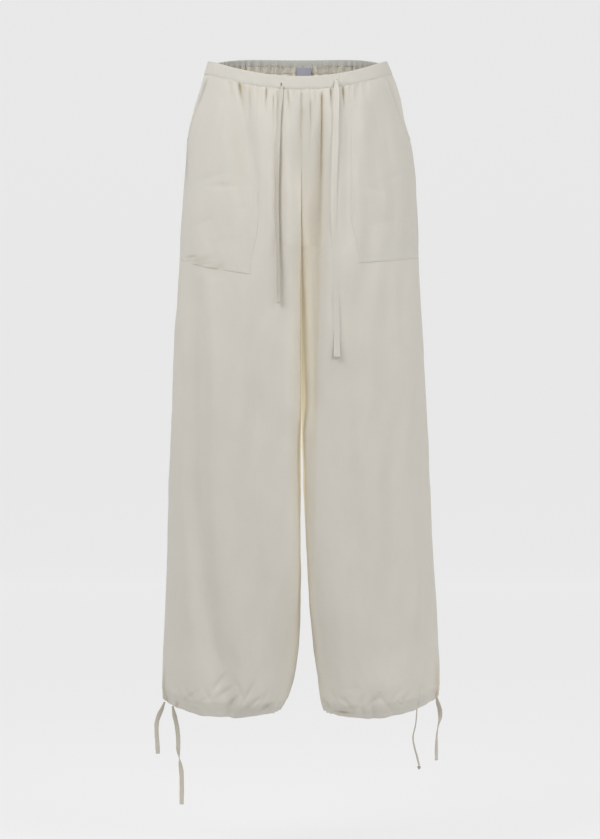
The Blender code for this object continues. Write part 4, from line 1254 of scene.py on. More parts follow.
def panel_columns(side, face):
    """Shares across a panel: finest beside both seams, finer towards the centre and at gathers.

    The columns stand at even steps of the running sum of a density.
    """
    edge = np.array(SEAM_COLUMNS)
    u = np.linspace(edge[-1], 1.0 - edge[-1], 4001)
    density = np.where(u < FINE_FROM_U, COARSE_WEIGHT, 1.0)
    if face == FRONT:
        x = base_surface(side, face, u, seam_height(side, face, u))[..., 0]
        for fold in FRONT_GATHERS:
            if fold.sharpness < CLOSE_GATHER:
                near = (x - fold.x - 0.3 * fold.drift * fold.reach) / GATHER_SPREAD
                density = density + GATHER_WEIGHT * bell(near)
    total = np.concatenate([[0.0], np.cumsum(0.5 * (density[1:] + density[:-1]))])
    inner = np.interp(np.linspace(0.0, total[-1], PANEL_COLUMNS[face] + 1), total, u)
    return np.concatenate([edge[:-1], inner, 1.0 - edge[-2::-1]])


def panel_grid(side, face):
    """u and z of a panel's points, in rows from inside the band down to the hem's edge."""
    u = panel_columns(side, face)
    top = seam_height(side, face, u)
    share = np.linspace(0.0, 1.0, TOP_ROWS + 1) ** 1.25
    near_top = top + TUCK_HEIGHT + (TOP_ROWS_END_Z - top - TUCK_HEIGHT) * share[:, None]
    hips = np.linspace(TOP_ROWS_END_Z, LEVEL_Z, HIP_ROWS + 1)[1:]
    turns = np.linspace(0.0, QUARTER_TURN, RISE_ROWS + 1)[1:]
    rise = LEVEL_Z + (CROTCH_Z - LEVEL_Z) * np.sin(turns)
    leg = np.linspace(CROTCH_Z, HEM_START_Z, LEG_ROWS + 1)[1:]
    level = np.concatenate([hips, rise, leg])[:, None] + np.zeros_like(u)
    share = np.linspace(0.0, 1.0, HEM_ROWS + 1)[1:, None]
    low = HEM_START_Z + (hem_height(side, u) - HEM_START_Z) * share
    z = np.concatenate([near_top, level, low])
    return u + np.zeros((len(z), 1)), z


def turned_hem(side, face, points, normals, u, z):
    """Rows of the hem's turning: round half a circle, then up inside the outer face."""
    rows = []
    for step in range(1, 4):
        turn = math.pi * step / 3
        drop = np.array([0.0, 0.0, -0.5 * HEM_TURN * math.sin(turn)])
        rows.append(points - normals * (0.5 * HEM_TURN * (1.0 - math.cos(turn))) + drop)
    for above in np.linspace(0.0, HEM_CHANNEL, TURN_ROWS - 2)[1:]:
        outer = panel_surface(side, face, u, z + above)
        rows.append(outer - outward(side, face, u, z + above) * HEM_TURN)
    return np.array(rows)


def make_panel(side, face):
    """One leg panel with its turned-up hem and the seam allowances folded inside.

    At both seams the cloth turns in by the seam allowance, as a sewn seam does, and by less at the
    top, where the band covers it.
    """
    u, z = panel_grid(side, face)
    points = panel_surface(side, face, u, z)
    base = base_surface(side, face, u, z)
    glow, tone = painted_inner_glow(side, z, base), panel_painted_shade(side, face, u, base, z)
    normals = outward(side, face, u, z)
    turned = turned_hem(side, face, points[-1], normals[-1], u[-1], z[-1])
    points = np.concatenate([points, turned])
    inside = -np.concatenate([normals, np.repeat(normals[-1:], len(turned), axis=0)])
    fins = []
    for end in (0, -1):
        edge = points[:, end]
        whole = smooth_step((edge[0, 2] - edge[:, 2:] - TRIMMED_REACH) / TRIMMED_FADE)
        trimmed = TRIMMED_SHARE + (1.0 - TRIMMED_SHARE) * whole
        allowance = inside[:, end] * SEAM_ALLOWANCE * trimmed
        fins.append([edge + allowance * part for part in FIN_SHARES])
    points = np.concatenate(
        [np.stack(fins[0][::-1], axis=1), points, np.stack(fins[1], axis=1)], axis=1)
    rows, columns = points.shape[:2]
    added = ((0, rows - len(z)), (len(FIN_SHARES), len(FIN_SHARES)), (0, 0))
    # The glow is painted light and the tone is painted shade
    marks = {"glow": np.pad(glow, added, "edge"), "tone": np.pad(tone, added, "edge")}
    name = f"{face_name(face)}_{side_name(side)}"
    uv = weave_of(points, 0.3 * side + 0.1 * face)
    piece = mesh_piece(f"{name}_cloth", points, grid_faces(rows, columns, side * face > 0),
                       stock("main_cloth"), uv, marks)
    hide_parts(name)
    return thicken(piece, bpy.context.scene.pants_sizes.cloth)


def band_rows():
    """A folded strip's section: share down and offset, up outside, over the rim, down inside."""
    outer = [(1.0, -0.0005), (0.985, 0.0001), (0.96, 0.0005), (0.92, 0.0007)]
    outer += [(share, BAND_PROUD) for share in (0.86, 0.76, 0.64, 0.5, 0.35, 0.2, 0.1)]
    radius = 0.5 * (BAND_PROUD - BAND_INNER)
    middle = 0.5 * (BAND_PROUD + BAND_INNER)
    turns = [math.pi * step / 6 for step in range(7)]
    rounded = [(radius * (1.0 - math.sin(turn)) / BAND_HEIGHT, middle + radius * math.cos(turn))
               for turn in turns]
    down = (0.2, 0.35, 0.5, 0.6, 0.66, 0.72, 0.8, 0.90, 0.96, 1.0)
    return outer + rounded + [(share, BAND_INNER) for share in down]


def band_face(side, face, u, share, offset, relief):
    """Points of a band's outer or inner face at a share down it, and the directions out."""
    z = rim_height(side, face, u) - BAND_HEIGHT * share
    base = base_surface(side, face, u, z)
    normal = outward(side, face, u, z)
    moved = offset + relief(u, base[..., 0], share, offset > 0)
    return base + normal * moved[..., None], normal


def band_points(face, relief):
    """A band's grid: each row runs from the right side seam over the centre to the left one."""
    u = np.linspace(0.0, 1.0, BAND_COLUMNS + 1)
    rows = []
    for share, offset in band_rows():
        row = [band_face(side, face, stations, share, offset, relief)[0]
               for side, stations in ((RIGHT, u), (LEFT, u[-2::-1]))]
        rows.append(np.concatenate(row) + np.array([0.0, face * SEAM_GAP / 2, 0.0]))
    return np.array(rows)


def front_band_relief(u, x, share, outer_face):
    """Slight waves, the join at the centre, the stitched lower edge, puckers at each eyelet."""
    waves = 0.00022 * np.sin(x * 95.0 + 3.0 * share)
    waves = waves + 0.00014 * np.sin(x * 210.0 - 5.0 * share + 1.0)
    join = -BAND_EDGE_DEPTH * bell((x - BAND_JOIN_X) / BAND_JOIN_HALF_WIDTH)
    edge = -BAND_EDGE_DEPTH * bell((share - BAND_EDGE_SHARE) / BAND_EDGE_REACH)
    pucker = 0.00045 * np.cos(x * 1150.0) * bell((x - 0.058) / 0.014)
    pucker = pucker + 0.0003 * np.cos(x * 1150.0) * bell((x + 0.029) / 0.010)
    gathered = 0.00028 * seam_ripple(x) * share**3 * bell(x / 0.10, 4)
    seam = -BAND_SIDE_SEAM_DEPTH * bell(u / BAND_SIDE_SEAM_U)
    calm = 1.0 - smooth_step((0.15 - share) / 0.15) * 0.6
    shown = 1.0 if outer_face else 0.5
    return (waves * calm + join + pucker + gathered) * shown + edge + seam


def back_band_relief(u, x, share, outer_face):
    """Ruches of the elastic: the gathered wave, calmer at the rim, drawn in at stitched rows."""
    begun = smooth_step(u / RUCHE_START_U)
    wave = RUCHE_DEPTH * back_ruche(u) * (0.35 + 0.65 * smooth_step(share / 0.7)) * begun
    fine = 0.0003 * np.cos(3.7 * back_phase(u) + 4.0 * share) * begun
    row, way = (RUCHE_STITCH_SHARE, -1.0) if outer_face else (FACING_SHARE, 1.0)
    stitched = way * RUCHE_STITCH_DEPTH * bell((share - row) / 0.05)
    seam = -BAND_SIDE_SEAM_DEPTH * bell(u / BAND_SIDE_SEAM_U)
    if outer_face:
        return wave + fine + stitched + seam
    loose = smooth_step((share - FACING_SHARE) / 0.10)
    puckers = 0.0006 * np.cos(2.6 * back_phase(u) + 0.7) * (0.5 + loose)
    beside_label = 1.0 - bell((x - LABEL_MIDDLE_X) / (0.62 * LABEL_WIDTH), 4)
    return (wave * (1.0 + LOOSE_RUCHE * loose) + fine + puckers) * beside_label + stitched + seam


def make_band(face, relief):
    """A waistband: a strip folded over the rim, open below, where the gathered cloth goes in."""
    points = band_points(face, relief)
    name = f"waistband_{face_name(face)}"
    finish = stock("band_cloth" if face == FRONT else "back_band_cloth")
    piece = mesh_piece(f"{name}_cloth", points, grid_faces(*points.shape[:2], face == BACK),
                       finish, weave_of(points, 0.7 * face))
    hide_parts(name)
    return thicken(piece, bpy.context.scene.pants_sizes.cloth)


def u_where_x(side, face, x, z):
    """The u of a front or back panel at which its surface passes x, at height z."""
    tried = np.linspace(0.0, 1.0, 481)
    passed = side * base_surface(side, face, tried, np.full_like(tried, z))[..., 0]
    return float(np.interp(side * x, passed[::-1], tried[::-1]))


def pocket_edges(side, down):
    """u of a pocket's outer and inner edges at a share of the way down."""
    inner_z = POCKET_TOP_Z + (POCKET_INNER_LOW_Z[side] - POCKET_TOP_Z) * down
    narrowing = POCKET_NARROWING * smooth_step((down - 0.70) / 0.30)
    inner_u = u_where_x(side, FRONT, POCKET_INNER_X[side] + side * narrowing, inner_z)
    outer_z = POCKET_TOP_Z + (POCKET_OUTER_LOW_Z - POCKET_TOP_Z) * down
    return mouth_edge(side, outer_z), inner_u


def pocket_point(side, across, down, raised=0.0):
    """Points of a pocket's face: the panel's own, moved out, with a billow and a rolled edge.

    across and down are shares of its width and height. The billow is a sine of each. The edges
    are turned under, so the face is a little thicker there.
    """
    wall = bpy.context.scene.pants_sizes.cloth * POCKET_WALL_SHARE
    shares = np.linspace(0.0, 1.0, 49)
    edges = np.array([pocket_edges(side, share) for share in shares])
    outer_u, inner_u = np.moveaxis(sampled(down, shares, edges), -1, 0)
    u = outer_u + (inner_u - outer_u) * across
    low = POCKET_OUTER_LOW_Z + (POCKET_INNER_LOW_Z[side] - POCKET_OUTER_LOW_Z) * across
    top = seam_height(side, FRONT, u) + TUCK_HEIGHT
    z = top + (low - top) * down
    gaping = POCKET_GAPE * (1.0 - smooth_step(across * POCKET_WIDTH / GAPE_REACH))
    gaping = gaping * smooth_step((GAPE_LOW_SHARE - down) / GAPE_FADE)
    bulge = np.sin(math.pi * np.clip(across, 0, 1)) ** BILLOW_POWER
    bulge = bulge * np.sin(math.pi * np.clip(down + 0.05, 0.0, 1.0)) ** BILLOW_POWER
    from_side = np.minimum(across * POCKET_WIDTH, (1.0 - across) * POCKET_WIDTH)
    from_edge = np.minimum(from_side, (1.0 - down) * POCKET_HEIGHT)
    rolled = POCKET_EDGE_ROLL * (1.0 - smooth_step((from_edge - ROLL_REACH) / ROLL_FADE))
    stitched = -POCKET_STITCH_DEPTH * bell((from_edge - POCKET_STITCH_INSET) / 0.0010)
    x = base_surface(side, FRONT, u, z)[..., 0]
    creased = dents(POCKET_DENTS, side, FRONT, x, z) * smooth_step(from_edge / ROLL_REACH)
    relief = POCKET_BILLOW * bulge + rolled + stitched + creased + gaping
    lifted = wall + relief * smooth_step(below_band(side, FRONT, u, z) / POCKET_TUCK_REACH)
    whole = smooth_step(from_edge / POCKET_THIN_EDGE)
    thinned = POCKET_EDGE_SHARE + (1.0 - POCKET_EDGE_SHARE) * whole
    lifted = np.maximum(lifted, wall + POCKET_LEAST_RISE) * thinned
    return panel_surface(side, FRONT, u, z, lifted + raised)


def make_pocket(side):
    """A patch pocket over the front panel."""
    edge = np.array(POCKET_EDGE_COLUMNS)
    inside = np.linspace(0.030, 0.970, POCKET_COLUMNS + 1 - 2 * len(edge))
    across = np.concatenate([edge, inside, 1.0 - edge[::-1]])
    down = np.concatenate([np.linspace(0.0, 0.955, POCKET_ROWS - POCKET_LOW_ROWS),
                           np.linspace(0.96, 1.0, POCKET_LOW_ROWS)])
    across, down = np.meshgrid(across, down)
    points = pocket_point(side, across, down)
    name = f"pocket_{side_name(side)}"
    x, z = points[..., 0], points[..., 2]
    # Painted shade of the front, and more along the pocket's open edge
    warm, grey = front_painted_shade(side, x, z, np.maximum(POCKET_TOP_Z - z, 0.0))
    tone = shade_tint_of(warm, grey + MOUTH_SHADE[side] * (bell(across / MOUTH_LIP) * mouth_open(z)))
    piece = mesh_piece(f"{name}_cloth", points, grid_faces(*points.shape[:2], side * FRONT > 0),
                       stock("pocket_cloth"), weave_of(points, 0.45 * side),
                       {"tone": tone})
    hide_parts(name)
    return thicken(piece, bpy.context.scene.pants_sizes.cloth * POCKET_WALL_SHARE)


def smooth_route(points, count):
    """Points at an even spacing along a smooth curve through the route's own points."""
    route = np.array(points)
    travelled = arc_lengths(route, 0)
    fine = np.linspace(0.0, travelled[-1], 600)
    curve = np.stack([smooth_curve(fine, travelled, one) for one in route.T], -1)
    lengths = arc_lengths(curve, 0)
    return sampled(np.linspace(0.0, lengths[-1], count), lengths, curve)


def capped(rings):
    """Points and faces of a tube of rings with a point at each end's middle."""
    count, around = rings.shape[:2]
    points = np.concatenate([rings.reshape(-1, 3), rings[0].mean(0)[None], rings[-1].mean(0)[None]])
    faces = grid_faces(count, around, False, around=True).tolist()
    first, last = count * around, count * around + 1
    for spot in range(around):
        after = (spot + 1) % around
        faces += [(first, after, spot),
                  (last, (count - 1) * around + spot, (count - 1) * around + after)]
    return points, faces


def path_frame(centres, turns):
    """Directions across and through a flat tie, turned about its length by the given degrees."""
    along = unit(np.gradient(centres, axis=0))
    part = np.linspace(0.0, 1.0, len(centres))
    table = np.array(turns, float)
    angle = np.radians(smooth_curve(part, table[:, 0], table[:, 1]))
    flat = np.stack([np.cos(angle), np.sin(angle), np.zeros_like(angle)], axis=-1)
    across = unit(flat - along * np.sum(flat * along, axis=1, keepdims=True))
    return across, np.cross(along, across)


def flat_section():
    """Shares across and through of a tie's section, which is a superellipse."""
    turn = np.linspace(0.0, FULL_TURN, TIE_AROUND, endpoint=False)
    wide, deep = (np.sign(one) * np.abs(one) ** TIE_SECTION_POWER
                  for one in (np.cos(turn), np.sin(turn)))
    return wide, deep


def make_tie(tie):
    """A flat tie of folded cloth: a rounded flat section along its route, pressed at its end.

    Its width swells and narrows a little, as soft cloth does, and the last few millimetres are
    pressed flat where the end is turned in and stitched.
    """
    centres = smooth_route(tie.route, TIE_STATIONS)
    across, through = path_frame(centres, tie.turns)
    part = np.linspace(0.0, 1.0, TIE_STATIONS)
    length = float(np.linalg.norm(np.diff(centres, axis=0), axis=1).sum())
    left = (1.0 - part) * length
    uneven = 1.0 + 0.03 * np.sin(part * 31.0) + 0.02 * np.sin(part * 57.0 + 1.0)
    drawn_in = 1.0 - TIE_DRAWN_IN * (1.0 - smooth_step(part * length / TIE_DRAWN_REACH))
    half_width = 0.5 * tie.width * uneven * drawn_in * (1.0 - 0.10 * bell(left / 0.0008))
    puffed = 1.0 + 0.15 * np.sin(part * 43.0 + 2.0) - 0.35 * bell((left - 0.004) / 0.0012)
    half_depth = 0.5 * TIE_THICKNESS * puffed
    wide, deep = flat_section()
    rings = swept(centres, across, through, half_width[:, None] * wide, half_depth[:, None] * deep)
    pressed = bell((np.abs(wide) - 0.78) / 0.10) * TIE_STITCH_DEPTH
    rings -= through[:, None] * (np.sign(deep) * pressed)[None, :, None]
    points, faces = capped(rings)
    around_length = np.linspace(0.0, 2.0 * tie.width, TIE_AROUND)
    uv = np.stack(np.broadcast_arrays(around_length[None, :], -(part * length)[:, None]), axis=-1)
    uv = np.concatenate([uv.reshape(-1, 2), [[0.0, 0.0]], [[0.0, -length]]])
    # Painted shade along the tie, darker where it is seen edge-on or against the light
    shades = np.array(tie.shades)
    shade = np.repeat(np.interp(part, shades[:, 0], shades[:, 1]), TIE_AROUND)
    shade = np.concatenate([shade, shades[[0, -1], 1]])[None]
    piece = mesh_piece(f"{tie.name}_cloth", points, faces, stock("tie_cloth"), uv,
                       {"tone": shade_tint_of(TIE_WARM_SHADE * shade, TIE_GREY_SHADE * shade)})
    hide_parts(tie.name)


def make_knot(end):
    """The small overhand knot below a tie: a thick strand along a trefoil, pulled tight.

    The trefoil is (sin t + 2 sin 2t, cos t - 2 cos 2t, -sin 3t), flattened and scaled.
    """
    turn = np.linspace(0.0, FULL_TURN, KNOT_STATIONS, endpoint=False)
    across = np.sin(turn) + 2.0 * np.sin(2.0 * turn)
    up = np.cos(turn) - 2.0 * np.cos(2.0 * turn)
    through = -np.sin(3.0 * turn)
    centre = np.array(end) - np.array([0.0, 0.0, KNOT_DROP])
    size_x, size_y, size_z = KNOT_SIZE
    path = np.stack([size_x * across, size_y * through, size_z * up], axis=-1) + centre
    along = unit(np.roll(path, -1, 0) - np.roll(path, 1, 0))
    outwards = path - centre
    outwards = unit(outwards - along * np.sum(outwards * along, axis=1, keepdims=True))
    ring = np.linspace(0.0, FULL_TURN, KNOT_AROUND, endpoint=False)
    rings = swept(path, outwards, np.cross(along, outwards),
                  KNOT_STRAND[0] * np.cos(ring)[None], KNOT_STRAND[1] * np.sin(ring)[None])
    uv = np.stack(np.meshgrid(ring * 0.001, turn * 0.003), axis=-1)
    # The knot has the ties' painted shade
    piece = mesh_piece("tie_knot_cloth", rings, loop_faces(rings, False), stock("tie_cloth"),
                       uv, {"tone": shade_tint_of(np.full(rings.shape[:2], TIE_WARM_SHADE), TIE_GREY_SHADE)})
    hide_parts("tie_knot")
    return piece


def stitches(name, lines, pitch_share=1.0):
    """Rows of stitches: each is a short spindle of thread laid along a line on the cloth.

    A line is points and the outward directions there. Stitches stand at an even pitch by length.
    """
    sizes = bpy.context.scene.pants_sizes
    pitch = (sizes.stitch + STITCH_GAP) * pitch_share
    radius = 0.5 * sizes.thread
    ring = np.linspace(0.0, FULL_TURN, SPINDLE_SIDES, endpoint=False)
    along_stitch, thick, sunk = np.array(SPINDLE).T
    all_points, all_faces, start = [], [], 0
    spindle = grid_faces(len(SPINDLE), SPINDLE_SIDES, True, around=True)
    each = len(SPINDLE) * SPINDLE_SIDES
    first_end = np.arange(SPINDLE_SIDES)
    for points, normals in lines:
        lengths = arc_lengths(points, 0)
        at = np.arange(0.5 * pitch, lengths[-1], pitch)
        ahead, behind = (sampled(at + step, lengths, points) for step in (0.0004, -0.0004))
        along = unit(ahead - behind)
        up = sampled(at, lengths, normals)
        up = unit(up - along * np.sum(up * along, axis=1, keepdims=True))
        beside = np.cross(along, up)
        centres = sampled(at, lengths, points)[:, None]
        centres = centres + along[:, None] * (along_stitch * sizes.stitch)[None, :, None]
        centres = centres + up[:, None] * (sunk * radius)[None, :, None]
        wheel = up[:, None] * np.cos(ring)[None, :, None]
        wheel = wheel + beside[:, None] * np.sin(ring)[None, :, None]
        rings = centres[:, :, None] + wheel[:, None] * (radius * thick)[None, :, None, None]
        all_points.append(rings.reshape(-1, 3))
        offset = start + each * np.arange(len(at))[:, None, None]
        all_faces += (spindle[None] + offset).reshape(-1, 4).tolist()
        all_faces += (offset[:, 0] + first_end).tolist()
        all_faces += (offset[:, 0] + each - 1 - first_end).tolist()
        start += each * len(at)
    mesh_piece(name, np.concatenate(all_points), all_faces, stock("sewing_thread"))


def band_line(face, relief, share, offset):
    """A line along a band's face at a share down it, with the directions out of that face."""
    right, left = (band_face(side, face, u, share, offset, relief) for side, u in (
        (RIGHT, np.linspace(0.03, 1.0, 300)), (LEFT, np.linspace(0.997, 0.03, 299))))
    normals = np.concatenate([right[1], left[1]]) * math.copysign(1.0, offset)
    return np.concatenate([right[0], left[0]]), normals


def tie_end_line(tie):
    """A line across a tie near its end, on the side that faces the front."""
    centres = smooth_route(tie.route, TIE_STATIONS)
    across, through = path_frame(centres, tie.turns)
    lengths = arc_lengths(centres, 0)
    spot = int(np.argmin(np.abs(lengths[-1] - lengths - TIE_STITCH_INSET)))
    facing = through[spot] * (1.0 if through[spot][1] < 0 else -1.0)
    shares = np.linspace(-0.42, 0.42, 24)[:, None]
    points = centres[spot] + across[spot] * tie.width * shares
    points = points + facing * (0.5 * TIE_THICKNESS - 0.0001)
    return points, np.broadcast_to(facing, points.shape)


def pocket_line(side, across, down):
    """A line on a pocket's face, with the directions out of it, from points to all sides."""
    steps = (-0.01, 0.01)
    before, after = (pocket_point(side, across + step, down) for step in steps)
    above, below = (pocket_point(side, across, np.clip(down + step, 0, 1)) for step in steps)
    normals = np.cross(after - before, above - below)
    normals *= np.sign(normals[:, 1:2]) * -1.0
    return pocket_point(side, across, down, ON_CLOTH), unit(normals)


def buttonhole(name, side, middle_x, middle_z):
    """A worked buttonhole: a ring of close bars of thread round a dark disc of painted shade for
    the slot.

    The ring is an ellipse on the band's face, and its thread swells and thins at each bar.
    """
    turn = np.linspace(0.0, FULL_TURN, BUTTONHOLE_STATIONS, endpoint=False)
    x = middle_x + 0.5 * BUTTONHOLE_WIDTH * np.cos(turn)
    z = middle_z + 0.5 * BUTTONHOLE_HEIGHT * np.sin(turn)
    u = np.array([u_where_x(side, FRONT, one_x, one_z) for one_x, one_z in zip(x, z)])
    normals = outward(side, FRONT, u, z)
    points = base_surface(side, FRONT, u, z) + normals * (BAND_PROUD + 0.0002)
    along = unit(np.roll(points, -1, 0) - np.roll(points, 1, 0))
    thick = (BUTTONHOLE_THREAD * (1.0 + 0.25 * np.cos(turn * BUTTONHOLE_BARS)))[:, None]
    ring = np.linspace(0.0, FULL_TURN, BUTTONHOLE_AROUND, endpoint=False)
    rings = swept(points, normals, np.cross(along, normals),
                  thick * np.cos(ring), 1.7 * thick * np.sin(ring))
    piece = mesh_piece(f"{name}_thread", rings, loop_faces(rings, True), stock("sewing_thread"))
    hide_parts(name)
    # The slot is not cut: a dark disc of painted shade stands in it
    opening = points[::5] + normals[::5] * 0.0003
    middle = opening.mean(axis=0)
    opening = middle + (opening - middle) * BUTTONHOLE_SLOT
    spots = np.arange(len(opening))
    fan = np.stack([spots, np.roll(spots, -1), np.full_like(spots, len(opening))], axis=-1)
    mesh_piece(f"{name}_slot", np.concatenate([opening, middle[None]]), fan, stock("slot_shade"))


def make_label():
    """A plain woven label inside the back: a rectangle with a slight curl at its lower edge."""
    across, down = np.meshgrid(np.linspace(-0.5, 0.5, LABEL_COLUMNS + 1),
                               np.linspace(0.0, 1.0, LABEL_ROWS + 1))
    z = LABEL_TOP_Z - LABEL_HEIGHT * down
    depth = column(SECTIONS, "back", z) - LABEL_CLEARANCE
    curl = 0.0012 * down**3 + 0.0003 * np.sin(9.0 * across + 2.0 * down)
    points = np.stack([LABEL_MIDDLE_X + LABEL_WIDTH * across, depth - curl, z], axis=-1)
    uv = np.stack([LABEL_WIDTH * across, -LABEL_HEIGHT * down], axis=-1)
    piece = mesh_piece("label_cloth", points, grid_faces(*across.shape, False),
                       stock("label_weave"), uv)
    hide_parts("label")
    return thicken(piece, LABEL_WALL)


def aim(item, target):
    """Turns a lamp or camera so that it faces a point."""
    towards = np.array(target) - np.array(item.location)
    flat = math.hypot(towards[0], towards[1])
    item.rotation_euler = (math.atan2(flat, -towards[2]), 0.0, math.atan2(-towards[0], towards[1]))


def area_lamp(name, place, target, size, power):
    """A square lamp that faces a target."""
    data = bpy.data.lights.new(name, "AREA")
    data.shape = "RECTANGLE"
    data.size = data.size_y = size
    data.energy = power
    lamp = bpy.data.objects.new(name, data)
    bpy.context.scene.collection.objects.link(lamp)
    lamp.location = place
    aim(lamp, target)


def make_backdrop():
    """A floor that sweeps up behind into a wall: a flat run, a quarter circle and a rise."""
    studio = bpy.context.scene.pants_studio
    colours = bpy.context.scene.pants_colours
    floor_z, near_y, turn_y, radius, top, half = -1.27, -9.0, 7.5, 2.5, 9.0, 12.0
    turn = np.linspace(0.0, QUARTER_TURN, 24)
    y = np.concatenate([[near_y], turn_y + radius * np.sin(turn), [turn_y + radius]])
    z = np.concatenate([[floor_z], floor_z + radius * (1.0 - np.cos(turn)), [top]])
    x = np.linspace(-half, half, 5)
    points = np.stack(np.broadcast_arrays(x[None, :], y[:, None], z[:, None]), axis=-1)
    made = Finish("backdrop_paper")
    place = made.place()
    shade = [0.985 * part for part in colours.backdrop]
    paper = made.mix(made.noise(place, 260.0), rgba(colours.backdrop), rgba(shade))
    made.feed(made.shader.inputs["Base Color"], paper)
    behind = made.ramp(made.second_axis(place), -0.8, 0.2, "SMOOTHSTEP")
    lit = made.mix(behind, (0.2, 0.2, 0.2, 1.0), (1.0, 1.0, 1.0, 1.0))
    made.feed(made.shader.inputs["Emission Color"], lit)
    made.shader.inputs["Roughness"].default_value = 0.95
    made.shader.inputs["Specular IOR Level"].default_value = 0.1
    made.shader.inputs["Emission Strength"].default_value = studio.glow
    mesh = bpy.data.meshes.new("backdrop")
    mesh.from_pydata(points.reshape(-1, 3).tolist(), [], grid_faces(len(y), len(x), False).tolist())
    mesh.materials.append(made.material)
    mesh.shade_smooth()
    backdrop = bpy.data.objects.new("backdrop", mesh)
    bpy.context.scene.collection.objects.link(backdrop)


class PANTS_OT_stage(bpy.types.Operator):
    """Makes the camera, the lights and the pale backdrop"""

    bl_idname = "pants.stage"
    bl_label = "Studio"

    def execute(self, context):
        scene = context.scene
        studio = scene.pants_studio
        data = bpy.data.cameras.new("camera")
        data.sensor_width = 36.0
        data.lens = data.sensor_width * studio.distance / studio.view_height
        camera = bpy.data.objects.new("camera", data)
        scene.collection.objects.link(camera)
        camera.location = (0.0, -studio.distance, studio.height)
        camera.rotation_euler = (QUARTER_TURN, 0.0, 0.0)
        scene.camera = camera
        world = bpy.data.worlds.new("studio_air")
        world.use_nodes = True
        world.node_tree.nodes["Background"].inputs["Color"].default_value = (1.0, 1.0, 1.0, 1.0)
        world.node_tree.nodes["Background"].inputs["Strength"].default_value = studio.sky
        scene.world = world
        scene.view_settings.view_transform = "Standard"
        for name, place, target, size in LAMPS:
            area_lamp(name, place, target, size, getattr(studio, name))
        make_backdrop()
        return {"FINISHED"}


class PANTS_OT_ties(bpy.types.Operator):
    """Makes the drawstring's two free ends, the four hem ties and the knot on one of them"""

    bl_idname = "pants.ties"
    bl_label = "Ties"

    def execute(self, context):
        for tie in DRAWSTRINGS:
            make_tie(tie)
        for tie in HEM_TIES:
            if tie.name == "hem_tie_left_inner":
                knot = make_knot(tie.route[-1])
                make_tie(tie)
            else:
                make_tie(tie)
        return {"FINISHED"}


class PANTS_OT_panels(bpy.types.Operator):
    """Makes the two front and two back panels of the legs"""

    bl_idname = "pants.panels"
    bl_label = "Leg panels"

    def execute(self, context):
        for side in (RIGHT, LEFT):
            for face in (FRONT, BACK):
                piece = make_panel(side, face)
        return {"FINISHED"}


class PANTS_OT_bands(bpy.types.Operator):
    """Makes the front waistband and the elastic back waistband"""

    bl_idname = "pants.bands"
    bl_label = "Waistbands"

    def execute(self, context):
        front = make_band(FRONT, front_band_relief)
        back = make_band(BACK, back_band_relief)
        return {"FINISHED"}


class PANTS_OT_pockets(bpy.types.Operator):
    """Makes the two patch pockets"""

    bl_idname = "pants.pockets"
    bl_label = "Pockets"

    def execute(self, context):
        for side in (RIGHT, LEFT):
            piece = make_pocket(side)
        return {"FINISHED"}


class PANTS_OT_trims(bpy.types.Operator):
    """Makes the buttonholes and the plain label"""

    bl_idname = "pants.trims"
    bl_label = "Buttonholes and label"

    def execute(self, context):
        for side in (RIGHT, LEFT):
            buttonhole(f"buttonhole_{side_name(side)}", side, *BUTTONHOLE_MIDDLES[side])
        label = make_label()
        return {"FINISHED"}


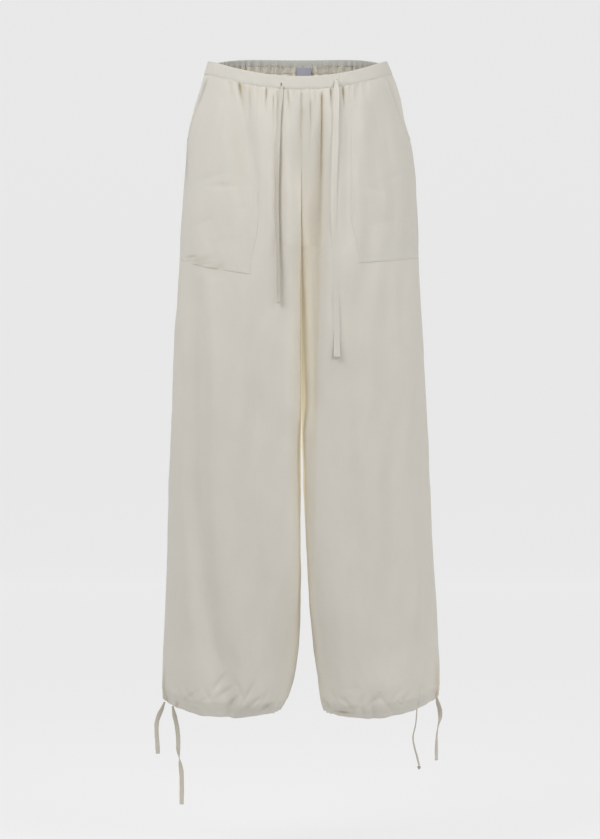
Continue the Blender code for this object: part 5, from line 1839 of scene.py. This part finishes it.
class PANTS_OT_stitching(bpy.types.Operator):
    """Makes the rows of stitches along the hems, the pockets and the bands"""

    bl_idname = "pants.stitching"
    bl_label = "Stitching"

    def execute(self, context):
        u = np.linspace(0.004, 0.996, 400)
        step = np.linspace(0.0, 1.0, 240)
        inset = 0.028
        for side in (RIGHT, LEFT):
            z = hem_height(side, u) + HEM_CHANNEL
            stitches(f"hem_stitches_{side_name(side)}", [
                (panel_surface(side, face, u, z, ON_CLOTH), outward(side, face, u, z))
                for face in (FRONT, BACK)])
            across = inset + step * (1.0 - 2.0 * inset)
            stitches(f"pocket_stitches_{side_name(side)}", [
                pocket_line(side, np.full_like(step, 1.0 - inset), 0.02 + step * 0.969),
                pocket_line(side, across, np.full_like(step, 0.989)),
                pocket_line(side, across, np.full_like(step, 0.965)),
                pocket_line(side, np.full_like(step, 0.050), 0.02 + step * 0.40),
            ])
        stitches("band_stitches", [
            band_line(BACK, back_band_relief, share, offset) for share, offset in (
                (RUCHE_STITCH_SHARE, BAND_PROUD), (FACING_SHARE, BAND_INNER),
                (FACING_SHARE + 0.12, BAND_INNER))])
        stitches("tie_end_stitches", [tie_end_line(tie) for tie in (*DRAWSTRINGS, *HEM_TIES)], 0.5)
        return {"FINISHED"}


class PANTS_PT_panel(bpy.types.Panel):
    """Lists the pieces of the pants"""

    bl_label = "Wide-leg pants"
    bl_idname = "PANTS_PT_panel"
    bl_space_type = "VIEW_3D"
    bl_region_type = "UI"
    bl_category = "Pants"

    def draw(self, context):
        for group_name, kind in GROUPS:
            for name in kind.__annotations__:
                self.layout.prop(getattr(context.scene, group_name), name)
        for operator in OPERATORS:
            self.layout.operator(operator.bl_idname)


GROUPS = (("pants_sizes", PantsSizes), ("pants_colours", PantsColours),
          ("pants_studio", PantsStudio))
OPERATORS = (PANTS_OT_stage, PANTS_OT_ties, PANTS_OT_panels, PANTS_OT_bands, PANTS_OT_pockets,
             PANTS_OT_trims, PANTS_OT_stitching)


def register():
    for name, group in GROUPS:
        bpy.utils.register_class(group)
        setattr(bpy.types.Scene, name, bpy.props.PointerProperty(type=group))
    for one in (*OPERATORS, PANTS_PT_panel):
        bpy.utils.register_class(one)


def unregister():
    for one in (PANTS_PT_panel, *reversed(OPERATORS)):
        bpy.utils.unregister_class(one)
    for name, group in reversed(GROUPS):
        delattr(bpy.types.Scene, name)
        bpy.utils.unregister_class(group)


def main():
    register()
    for operator in OPERATORS:
        group, name = operator.bl_idname.split(".")
        getattr(getattr(bpy.ops, group), name)()


if __name__ == "__main__":
    main()
